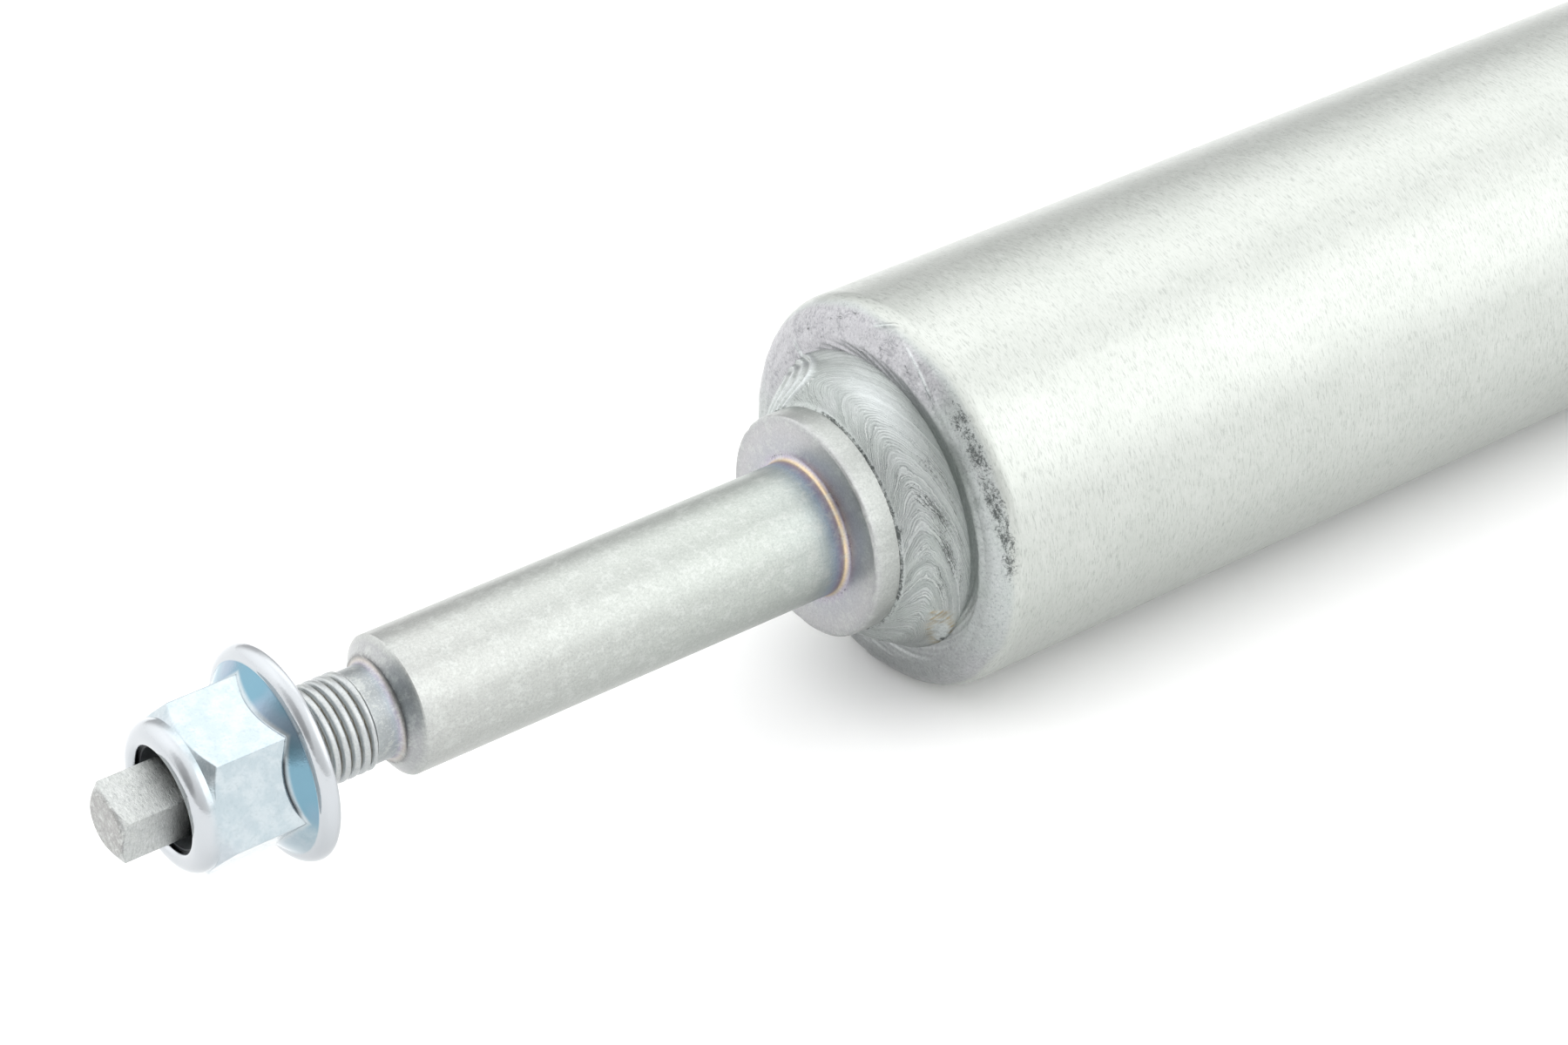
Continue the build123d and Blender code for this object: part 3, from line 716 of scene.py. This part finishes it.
def stem():
    """Square tip, helical thread, neck, shank and collar, turned from one bar."""
    rows, x, r, theta = revolve(stem_profile(), STEM_COLUMNS)
    along = along_profile(x, r)
    tip, stud, collar = rows["tip"], rows["stud"], rows["collar"]
    r[tip] = np.minimum(r[tip], square_radius(theta))
    r[stud] = thread_radius(x[stud], theta)
    r[collar] -= collar_nicks(theta) * bell(x[collar], COLLAR_X + 0.25, 0.45)
    start = {name: float(along[part.start, 0]) for name, part in rows.items()}
    fields = {
        "along": along,
        "wear_and_shade": stem_wear_and_shade(x, r, along, theta, along[collar.start - 1, 0]),
        "milled": 1 - smooth(STUD_START - 1.5, STUD_START, x),
    }
    piece = skin("stem_turned", x, r, theta, closed=False, attributes=fields)
    finish = stem_finish(stem_colours(start, float(along[-1, 0])))
    seat(piece, "cylinder", "stem", finish, crease=28)


# --- Nut ---------------------------------------------------------------------
NUT_CRIMP_X = NUT_TOP + 2.7  # where the crimp meets the hexagon
NUT_RIM_X = NUT_FACE - NUT_RIM_DEPTH


def nut_profile():
    """The named parts of the nut's outline, as points (x, r)."""
    mouth = [(NUT_TOP + 2.2, NUT_MOUTH_R + 0.05), (NUT_TOP + 0.95, NUT_MOUTH_R)]
    roll = arc((NUT_TOP + 0.85, NUT_MOUTH_R + 0.85), 0.85, -100, -172, 9)
    roll += arc((NUT_TOP + 2.15, NUT_CRIMP_R - 2.15), 2.15, 172, 96, 16)
    body = line((NUT_CRIMP_X - 0.25, NUT_CRIMP_R), (NUT_RIM_X, NUT_CRIMP_R), 0.07)
    rim = arc((NUT_FACE - 0.95, NUT_FLANGE_R - NUT_RIM_R), NUT_RIM_R, 176, 92, 16)
    rim += arc((NUT_FACE - 0.95, NUT_FLANGE_R - 0.8), 0.8, 90, 12, 8)
    under = [(NUT_FACE - 0.1, NUT_FLANGE_R - 1.2), (NUT_FACE, NUT_FLANGE_R - 1.6)]
    under += line((NUT_FACE, NUT_FLANGE_R - 1.9), (NUT_FACE, NUT_BORE_R + 1.2), 0.8)
    bore = [(NUT_FACE, NUT_BORE_R + 1.2), (NUT_FACE - 1.2, NUT_BORE_R), (NUT_TOP + 4.0, NUT_BORE_R)]
    bore += [(NUT_TOP + 4.0, NUT_INSERT_R), (NUT_TOP + 1.2, NUT_INSERT_R), (NUT_TOP + 1.2, NUT_LIP_R)]
    names = ("mouth", "roll", "body", "rim", "under", "bore")
    return dict(zip(names, (mouth, roll, body, rim, under, bore)))


def nut_body(x, theta):
    """Radius of the hexagon and of the flange's cone, the first with its corners chamfered."""
    side = (theta - math.radians(NUT_TURN) + math.pi / 6) % (math.pi / 3) - math.pi / 6
    chamfer = NUT_CRIMP_R + (x - NUT_CRIMP_X) * 1.28
    sides = soft_min(NUT_FLAT / np.cos(side), np.maximum(chamfer, NUT_CRIMP_R - 0.05), 0.10)
    return sides, NUT_FLANGE_R - NUT_RIM_R - (NUT_RIM_X - x) * 1.1


def flange_nut():
    """Hexagon with chamfered corners, conical flange, round rim and rolled crimp."""
    rows, x, r, theta = revolve(nut_profile(), NUT_COLUMNS)
    body = rows["body"]
    sides, cone = nut_body(x[body], theta)
    gap = sides - cone
    front = sector(theta, (48, 60), (92, 102))
    # Painted shade: a dark line in the crease between hexagon and cone, wider on the front faces; the same
    # mask also cuts a shallow groove there.
    crevice_shade = bell(gap, 0.12, 0.10 + 0.16 * front) * (0.35 + 0.65 * front)
    r[body] = soft_max(sides, cone, 0.06) - 0.10 * crevice_shade
    zones = {name: np.zeros(r.shape) for name in ("cone", "worn", "crevice_shade")}
    zones["cone"][body] = 1 - smooth(-0.6, -0.1, gap)
    zones["cone"][body] *= 1 - 0.65 * smooth(96, 112, turn_from(theta, 0))
    zones["crevice_shade"][body] = crevice_shade
    # Painted shade: the mouth's bore and the insert's groove are painted near black.
    in_mouth = (r < NUT_MOUTH_R + 0.1) * (x < NUT_TOP + 5) * (x > NUT_TOP + 0.7)
    in_groove = (x > NUT_TOP + 1.1) * (x < NUT_TOP + 4.1)
    in_groove = in_groove * (r < NUT_INSERT_R + 0.12) * (r > NUT_LIP_R - 0.1)
    zones["crevice_shade"] += 0.95 * in_mouth
    zones["crevice_shade"] += 0.95 * in_groove
    # Painted shade: a dark line where the cone meets the rounded rim, on the upper front.
    rim_line = sector(theta, (5, 20), (60, 75)) * bell(r, NUT_FLANGE_R - 1.75, 0.10)
    zones["crevice_shade"] += 0.5 * rim_line * (x < NUT_RIM_X + 0.1)
    on_rim = smooth(NUT_FLANGE_R - 1.75, NUT_FLANGE_R - 1.55, r)
    zones["worn"] = np.maximum(on_rim, 1 - smooth(NUT_CRIMP_X - 1.6, NUT_CRIMP_X + 0.1, x))
    piece = skin("flange_nut_formed", x, r, theta, attributes=zones)
    seat(piece, "flange_nut", "flange_nut", nut_finish(), crease=40)


# --- Weld between stem and cap -----------------------------------------------
# Directions are in degrees from +Z towards -Y. A share runs across the bead, from 0 at
# the collar to 1 at the cap.
RIPPLES = 190
LEAD = 0.38  # the share where a ripple is furthest ahead
LOOP_AT = -25.0  # the bead starts here, with a lapped loop
CRATER_AT = 124.0  # and stops here
TOE_HOLE = (130, 0.96)
STREAKS = ((68, 0.70), (62, 0.60), (77, 0.64), (86, 0.72), (48, 0.74), (55, 0.44), (96, 0.60))


def lag(share):
    """How far a ripple trails round the axis, in radians, across the bead."""
    outer = np.clip((share - LEAD) / (1 - LEAD), 0, 1)
    inner = np.clip((LEAD - share) / LEAD, 0, 1)
    return 0.88 * outer**1.67 + 0.32 * inner**1.6


def spot(theta, share, centre, width, lean=0.0):
    """A soft spot at (degrees, share), as wide as given; lean trails it round the axis."""
    across = (share - centre[1]) / width[1]
    away = turn_from(theta, centre[0]) - lean * (share - centre[1])
    return np.exp(-((away / width[0]) ** 2) - across**2)


def close_bead(x, r, theta, inside, fields):
    """Adds the hidden points (x, r) that close a bead; its fields are 0 there."""
    around = 0 * theta
    x = np.vstack([x + around, *(point[0] + around for point in inside)])
    r = np.vstack([r + around, *(point[1] + around for point in inside)])
    pad = np.zeros((len(inside), theta.size))
    return x, r, {name: np.vstack([values + around, pad]) for name, values in fields.items()}


def ripple_phase(theta, share):
    """Ripples counted along the bead."""
    wrapped = (theta + math.pi) % (2 * math.pi) - math.pi
    wander = 0.010 * ripple_noise(theta, (17, 31, 47), SEED + 2)
    return RIPPLES * (wrapped - lag(share) + wander) / (2 * math.pi)


def ripple_depth(phase, share):
    """Depth of the ripples, in millimetres: each of its own strength, and fading at the toes."""
    wave = (0.5 - 0.5 * np.cos(2 * math.pi * phase)) ** 1.5
    strength = 0.45 + 0.55 * table_noise(phase + 2 * RIPPLES, SEED + 3)
    return 0.10 * wave * strength * smooth(0, 0.10, share) * (1 - 0.75 * smooth(0.6, 0.95, share))


def weld_soot_marks(theta, share, open_side, behind, hump):
    """How sooty the bead is: its inner toe, a few streaks and pits, and its outer toe."""
    inner_toe = 0.3 + 0.7 * smooth(-12, 0, turn_from(theta, 0))
    soot = 0.85 * (1 - smooth(0.03, 0.07, share)) * inner_toe
    soot = soot + 0.95 * spot(theta, share, (69, 0.07), (2.4, 0.05), lean=-30)
    soot = soot + 0.45 * bell(share, 0.86, 0.035) * open_side
    for streak in STREAKS:
        soot = soot + 0.60 * spot(theta, share, streak, (6, 0.11), lean=62)
    soot = soot + 0.55 * spot(theta, share, (26, 0.25), (1.5, 0.06), lean=-25)
    soot = soot + 1.0 * spot(theta, share, TOE_HOLE, (1.0, 0.035))
    soot = soot + 0.6 * bell(behind, -2.2, 0.8) * hump
    return np.clip(soot + 0.35 * smooth(0.9, 0.97, share) * (1 - open_side), 0, 1)


def stem_weld(material):
    """Fillet weld: crescent ripples that trail towards both toes, a lapped start, a crater."""
    theta = angles(STEM_WELD_COLUMNS)[None, :]
    share = np.linspace(0, 1, 96)[:, None]
    hump = 4 * share * (1 - share)
    open_side = sector(theta, (8, 30), (92, 120))
    trail = np.where(share > 0.45, 18 * ((share - 0.45) / 0.55) ** 2, 12 * ((0.45 - share) / 0.45) ** 2)
    behind = turn_from(theta, LOOP_AT) + trail
    start = window(behind, (-32, -26), (-1.5, 0.5))
    jag = 0.05 * ripple_noise(theta, (37, 59, 83), SEED + 16)
    crater = spot(theta + jag, share + 1.2 * jag, (CRATER_AT, 0.84), (9, 0.23), lean=28)
    calm = np.clip(1 - start - 1.4 * crater, 0, 1)

    phase = ripple_phase(theta, share)
    wander = ripple_noise(theta, (2, 3, 5, 9), SEED + 1)
    lift = 0.95 * hump + 0.12 * wander * hump
    lift = lift - ripple_depth(phase, share) * calm
    lift = lift + 0.42 * bell(behind, 0, 1.6) * np.sqrt(hump) + 0.16 * start
    lift = lift + 0.14 * start * np.cos(behind * 0.85)
    lift = lift + 0.28 * crater - 0.35 * spot(theta, share, TOE_HOLE, (0.9, 0.03))
    flare = 0.6 * smooth(0.76, 1.0, share) * (1 - 0.4 * open_side)
    bite = smooth(0.55, 0.8, table_noise(np.degrees(theta) * 0.9 + 720, SEED + 4))
    from_x, from_r = WELD_TOE_X + 0.05, COLLAR_R + 0.05
    to_x, to_r = CAP_X - 0.35, WELD_TOE_R - 0.15
    x = from_x + (to_x - from_x) * share - 0.72 * lift - flare
    r = from_r + (to_r - from_r) * share + 0.70 * lift + 0.9 * flare
    r = r - 0.12 * bite * (1 - smooth(0.0, 0.05, share))

    broken = 0.5 + 0.5 * ripple_noise(theta + 0.9 * share, (41, 67, 103), SEED + 15)
    crater_edge = bell(crater, 0.40, 0.20) * (share > 0.5) * np.clip(broken, 0, 1)
    pale = spot(theta, share, (14, 0.62), (24, 0.22)) + 0.45 * crater
    pale = pale + 0.7 * start * np.cos(behind * 0.85)
    fields = {
        "phase": phase,
        "soot": weld_soot_marks(theta, share, open_side, behind, hump),
        "pale": np.clip(pale + 0.8 * bell(behind, 0, 1.4), 0, 1),
        "gold": 0.95 * crater_edge,
        "shade": 0.30 * smooth(0.80, 0.92, share) * (0.15 + 0.85 * open_side),
        "lined": calm * smooth(0.02, 0.10, share),
        "ground": 0 * share,
        "stain": 0 * share,
    }
    inside = ((CAP_X, WELD_TOE_R - 0.1), (CAP_X, COLLAR_R - 0.05), (WELD_TOE_X, COLLAR_R - 0.05))
    x, r, fields = close_bead(x, r, theta, inside, fields)
    piece = skin("stem_weld_rippled", x, r, theta, attributes=fields)
    seat(piece, "cylinder", "stem_weld", material, crease=50)


# --- Weld round the tube's rim -----------------------------------------------
# Here a share of -0.6 is the bead's foot, 0 its crest and 1 where the tube is straight.
DENTS = (  # direction, share and size
    (15, 0.22, 1.5), (17, 0.16, 0.9), (-18, 0.35, 1.3), (-22, 0.28, 0.9),
    (3, 0.12, 1.1), (38, 0.44, 0.9), (-35, 0.1, 0.9), (-12, 0.52, 1.1),
    (98, -0.05, 0.6), (112, -0.2, 0.7), (-5, -0.2, 0.9), (-28, -0.1, 0.8),
)


def rim_marks(theta, share):
    """The bead's stained stretches above and below, its rubbed patch, its ridge and its lap."""
    turn = turn_from(theta, 0)
    middle = 0.50 + 0.20 * smooth(55, 92, turn)
    ridge = bell(turn_from(theta, 21) + 54 * (share - 0.35), 0, 1.6)
    lap = bell(turn_from(theta, 1.5) - 22 * (share - 0.6), 0, 1.2)
    above = sector(theta, (-95, -60), (24, 38))
    below = np.clip(smooth(112, 130, turn) + smooth(-150, -179, turn), 0, 1)
    darkened = sector(theta, (30, 40), (84, 94)) * bell(share, middle, 0.19, power=4)
    ridge = ridge * window(share, (0.14, 0.24), (0.46, 0.56))
    return above, below, darkened, ridge, lap * window(share, (0.40, 0.5), (0.70, 0.80))


def rim_foot(theta, open_side):
    """The grids x and r of the slope from the groove up to the crest: open or filled with weld."""
    r = np.linspace(WELD_TOE_R - 0.8, BEAD_CREST_R - 0.25, 24)[:, None]
    climb = (r - r[0]) / (r[-1] - r[0])
    valley = CAP_X - 0.30 - (CAP_X - 0.30 - BEAD_FRONT) * smooth(0.15, 1.1, climb) ** 0.9
    filled = CAP_X - 1.0 - (CAP_X - 1.0 - BEAD_FRONT) * climb**0.9
    lumps = ripple_noise(theta + 0.8 * climb, (11, 17, 29), SEED + 14)
    filled = filled + 0.10 * lumps * climb * (1 - climb) * 2
    return filled + 0.32 * (valley - filled) * open_side, r + 0 * theta


def rim_weld(material):
    """Smooth bead that rounds the tube's end, stained above, with a rough rubbed patch."""
    theta = angles(RIM_WELD_COLUMNS)[None, :]
    open_side = sector(theta, (4, 30), (92, 120))
    foot_x, foot_r = rim_foot(theta, open_side)
    bend = np.array(arc((TUBE_START, BEAD_CREST_R), TUBE_R - BEAD_CREST_R, 180, 90, 56))
    share = np.concatenate([np.linspace(-0.6, -0.02, len(foot_r)), np.linspace(0, 1, len(bend))])[:, None]
    above, below, darkened, ridge, lap = rim_marks(theta, share)
    swell = 0.14 * ripple_noise(theta, (3, 5, 8, 13), SEED + 6)
    swell = swell + 0.04 * ripple_noise(theta, (29, 37, 53), SEED + 7)
    rolling = ripple_noise(theta + 0.25 * share, (13, 23, 37), SEED + 11)
    round_part = window(share, (-0.1, 0.1), (0.35, 0.98))
    sink = round_part * (0.26 - swell) + 0.05 * above * round_part * (1 + rolling)
    sink = np.maximum(sink + 0.08 * darkened - 0.20 * ridge - 0.20 * lap, 0.0)
    slope = np.radians(180 - 90 * np.clip(share, 0, 1))
    x = np.vstack([foot_x, bend[:, :1] + 0 * theta]) - sink * np.cos(slope)
    r = np.vstack([foot_r, bend[:, 1:] + 0 * theta]) - sink * np.sin(slope)

    pits = sum(spot(theta, share, dent[:2], (dent[2], 0.025 * dent[2]), lean=10) for dent in DENTS)
    soot = 0.82 * darkened + 0.9 * pits + 0.12 * above * (1 - smooth(0.45, 0.62, share))
    shade = 0.45 * (1 - smooth(-0.30, 0.16, share)) * open_side
    shade = shade + 0.35 * spot(theta, share, (2, 0.55), (6, 0.12))
    loop = bell(turn_from(theta, -45), 0, 1.1) * (1 - smooth(-0.15, 0.1, share))
    pale = 0.9 * ridge + 0.9 * lap + loop + 0.10 * open_side * smooth(0.0, 0.2, share) + 0.05 * above
    fields = {
        "lined": 0 * share,
        "soot": soot + 0.30 * bell(share, -0.52, 0.06) * (1 - open_side),
        "pale": pale,
        "gold": 0 * share,
        "shade": shade + 0.25 * below * (1 - smooth(0.2, 0.5, share)),
        "ground": smooth(0.60, 0.78, share + 0.05 * ripple_noise(theta, (5, 9, 17), SEED + 13)),
        "stain": above * (1 - smooth(0.5, 0.66, share)) + 0.6 * below,
    }
    fields = {name: np.clip(values, 0, 1) for name, values in fields.items()}
    wall = TUBE_R - TUBE_WALL
    inside = ((TUBE_START, wall), (CAP_X + 0.4, wall), (CAP_X + 0.4, WELD_TOE_R - 0.8))
    x, r, fields = close_bead(x, r, theta, inside, fields)
    piece = skin("rim_weld_bead", x, r, theta, attributes=fields)
    seat(piece, "cylinder", "rim_weld", material, crease=50)


# --- Tube --------------------------------------------------------------------
def reservoir_tube():
    """Outer tube."""
    wall = TUBE_R - TUBE_WALL
    profile = line((TUBE_START, TUBE_R), (TUBE_END - 0.3, TUBE_R), 10)
    profile += [(TUBE_END - 0.3, TUBE_R), (TUBE_END, TUBE_R - 0.3), (TUBE_END, wall), (TUBE_START, wall)]
    _, x, r, theta = revolve({"tube": profile}, TUBE_COLUMNS)
    piece = skin("reservoir_tube_ground", x, r, theta)
    seat(piece, "cylinder", "reservoir_tube", tube_finish())


stem()
flange_nut()
WELD_ZINC = weld_finish()
stem_weld(WELD_ZINC)
rim_weld(WELD_ZINC)
reservoir_tube()

# --- Finishes of the CAD nodes that stay -------------------------------------
ROUND = (1, 0.05, 0.05)  # grain drawn out round the axis
CARRIED = {
    "honed_steel": plain_metal("steel_honed", (0.44, 0.44, 0.44), (0.36, 0.36, 0.36), 0.25, ROUND),
    "sintered_iron": plain_metal("iron_sintered", (0.26, 0.26, 0.27), (0.18, 0.18, 0.19), 0.5, depth=0.05),
    "plain_steel": plain_metal("steel_oiled", (0.38, 0.38, 0.39), (0.28, 0.28, 0.30), 0.3),
    "spring_steel": plain_metal("steel_spring", (0.32, 0.32, 0.34), (0.22, 0.22, 0.24), 0.3),
    "bronze": plain_metal("bronze_bush", (0.50, 0.38, 0.20), (0.38, 0.28, 0.13), 0.35, ROUND),
    "black_rubber": soft_matt("rubber_black", (0.05, 0.05, 0.052), (0.022, 0.022, 0.024), 0.62),
    "ptfe": soft_matt("ptfe_filled", (0.34, 0.31, 0.26), (0.26, 0.24, 0.20), 0.5),
    "rod_chrome": plain_metal("chrome_ground", (0.50, 0.50, 0.51), (0.46, 0.46, 0.47), 0.09, ROUND, 0.001),
    "gland_steel": plain_metal("zinc_gland", (0.42, 0.43, 0.42), (0.36, 0.375, 0.365), 0.3, ROUND),
    "elastomer": soft_matt("elastomer_stop", (0.66, 0.56, 0.34), (0.56, 0.46, 0.26), 0.5),
    "eye_steel": plain_metal("zinc_forged", (0.42, 0.435, 0.42), (0.345, 0.36, 0.35), 0.36, depth=0.03),
    # The nylon insert is given a near-black colour that stands in for the shade deep inside the nut's
    # mouth: painted shade.
    "nylon": soft_matt("nylon_dark_painted_shade", (0.10, 0.11, 0.115), (0.05, 0.055, 0.06), 0.45),
    "cap_steel": plain_metal("zinc_cap", (0.42, 0.43, 0.43), (0.26, 0.27, 0.27), 0.4, ROUND, 0.03),
    "weld_steel": plain_metal("zinc_eye_weld", (0.39, 0.39, 0.41), (0.31, 0.31, 0.325), 0.35, depth=0.05),
}
SLOTS = {entry["node"]: entry["material_slot"] for entry in frame["record"]["subparts"]}
for node, shape in frame["nodes"].items():
    if not shape.hide_render:
        shape.data.materials.clear()
        shape.data.materials.append(CARRIED[SLOTS[node]])

# --- Floor, light and camera -------------------------------------------------
FLOOR_SIZE = 8.0  # metres
PAPER_WHITES = ((0.94, 0.94, 0.94), (0.96, 0.96, 0.96))
bpy.ops.mesh.primitive_plane_add(size=FLOOR_SIZE, location=(0, 0, CAD_BOX[0].z))
floor = bpy.context.object
floor.name = "floor"
paper = Finish("pale_floor", Roughness=0.9, Specular_IOR_Level=0.1)
grain = paper.noise((0.02, 0.02, 0.02), detail=2.0)
floor.data.materials.append(paper.finish(paper.mix(grain, *PAPER_WHITES)))

HORIZON_LIGHT = 1.42
ZENITH_LIGHT = 1.85
LOBES = [  # direction, cosines where the glow starts and is full, strength
    ((0.50, 0.43, 0.75), 0.80, 0.985, 0.50),
    ((0.55, -0.66, 0.50), 0.80, 0.98, 0.80),
    ((0.50, 0.84, 0.20), 0.75, 0.98, -0.65),
    ((-0.56, 0.66, 0.50), 0.60, 0.98, 0.35),
    ((-0.86, -0.12, 0.50), 0.84, 0.96, -0.55),
    ((-0.85, -0.51, 0.12), 0.20, 0.95, -0.40),
]
world = bpy.data.worlds.new("studio")
bpy.context.scene.world = world
world.use_nodes = True
tree = world.node_tree


def world_node(kind, inputs, **settings):
    """The outputs of a new world node with its settings, and its inputs linked or set."""
    node = tree.nodes.new(kind)
    for name, value in settings.items():
        setattr(node, name, value)
    for socket, value in inputs.items():
        if isinstance(value, bpy.types.NodeSocket):
            tree.links.new(value, node.inputs[socket])
        else:
            node.inputs[socket].default_value = value
    return node.outputs


look = world_node("ShaderNodeTexCoord", {})["Generated"]
height = world_node("ShaderNodeSeparateXYZ", {0: look})["Z"]
limits = {"From Min": 0.0, "From Max": 1.0, "To Min": HORIZON_LIGHT, "To Max": ZENITH_LIGHT}
light = world_node("ShaderNodeMapRange", {"Value": height, **limits})["Result"]
for direction, outer, inner, strength in LOBES:
    towards = Vector(direction).normalized()
    near = world_node("ShaderNodeVectorMath", {0: look, 1: towards}, operation="DOT_PRODUCT")["Value"]
    limits = {"From Min": outer, "From Max": inner, "To Min": 0.0, "To Max": strength}
    glow = world_node("ShaderNodeMapRange", {"Value": near, **limits}, interpolation_type="SMOOTHSTEP")
    light = world_node("ShaderNodeMath", {0: light, 1: glow["Result"]}, operation="ADD")["Value"]
tree.links.new(light, tree.nodes["Background"].inputs["Strength"])
tree.nodes["Background"].inputs["Color"].default_value = (1, 1, 1, 1)

FOCAL_LENGTH = 97.09  # millimetres, as is the sensor's width
SENSOR = 36.0
CAMERA_AZIMUTH = math.radians(-37.03)
CAMERA_ELEVATION = math.radians(34.18)
CAMERA_DISTANCE = 0.5475  # metres, from the point it aims at
AIM = Vector((0.0503, -0.0209, 0.0200))

scene = bpy.context.scene
scene.view_settings.view_transform = "Standard"
lens = bpy.data.cameras.new("camera")
lens.lens = FOCAL_LENGTH
lens.sensor_width = SENSOR
lens.clip_start = 0.01
camera = bpy.data.objects.new("camera", lens)
level = math.cos(CAMERA_ELEVATION)
back = Vector((
    math.sin(CAMERA_AZIMUTH) * level,
    -math.cos(CAMERA_AZIMUTH) * level,
    math.sin(CAMERA_ELEVATION),
))
camera.location = AIM + back * CAMERA_DISTANCE
camera.rotation_euler = (-back).to_track_quat("-Z", "Y").to_euler()
bpy.context.collection.objects.link(camera)
scene.camera = camera
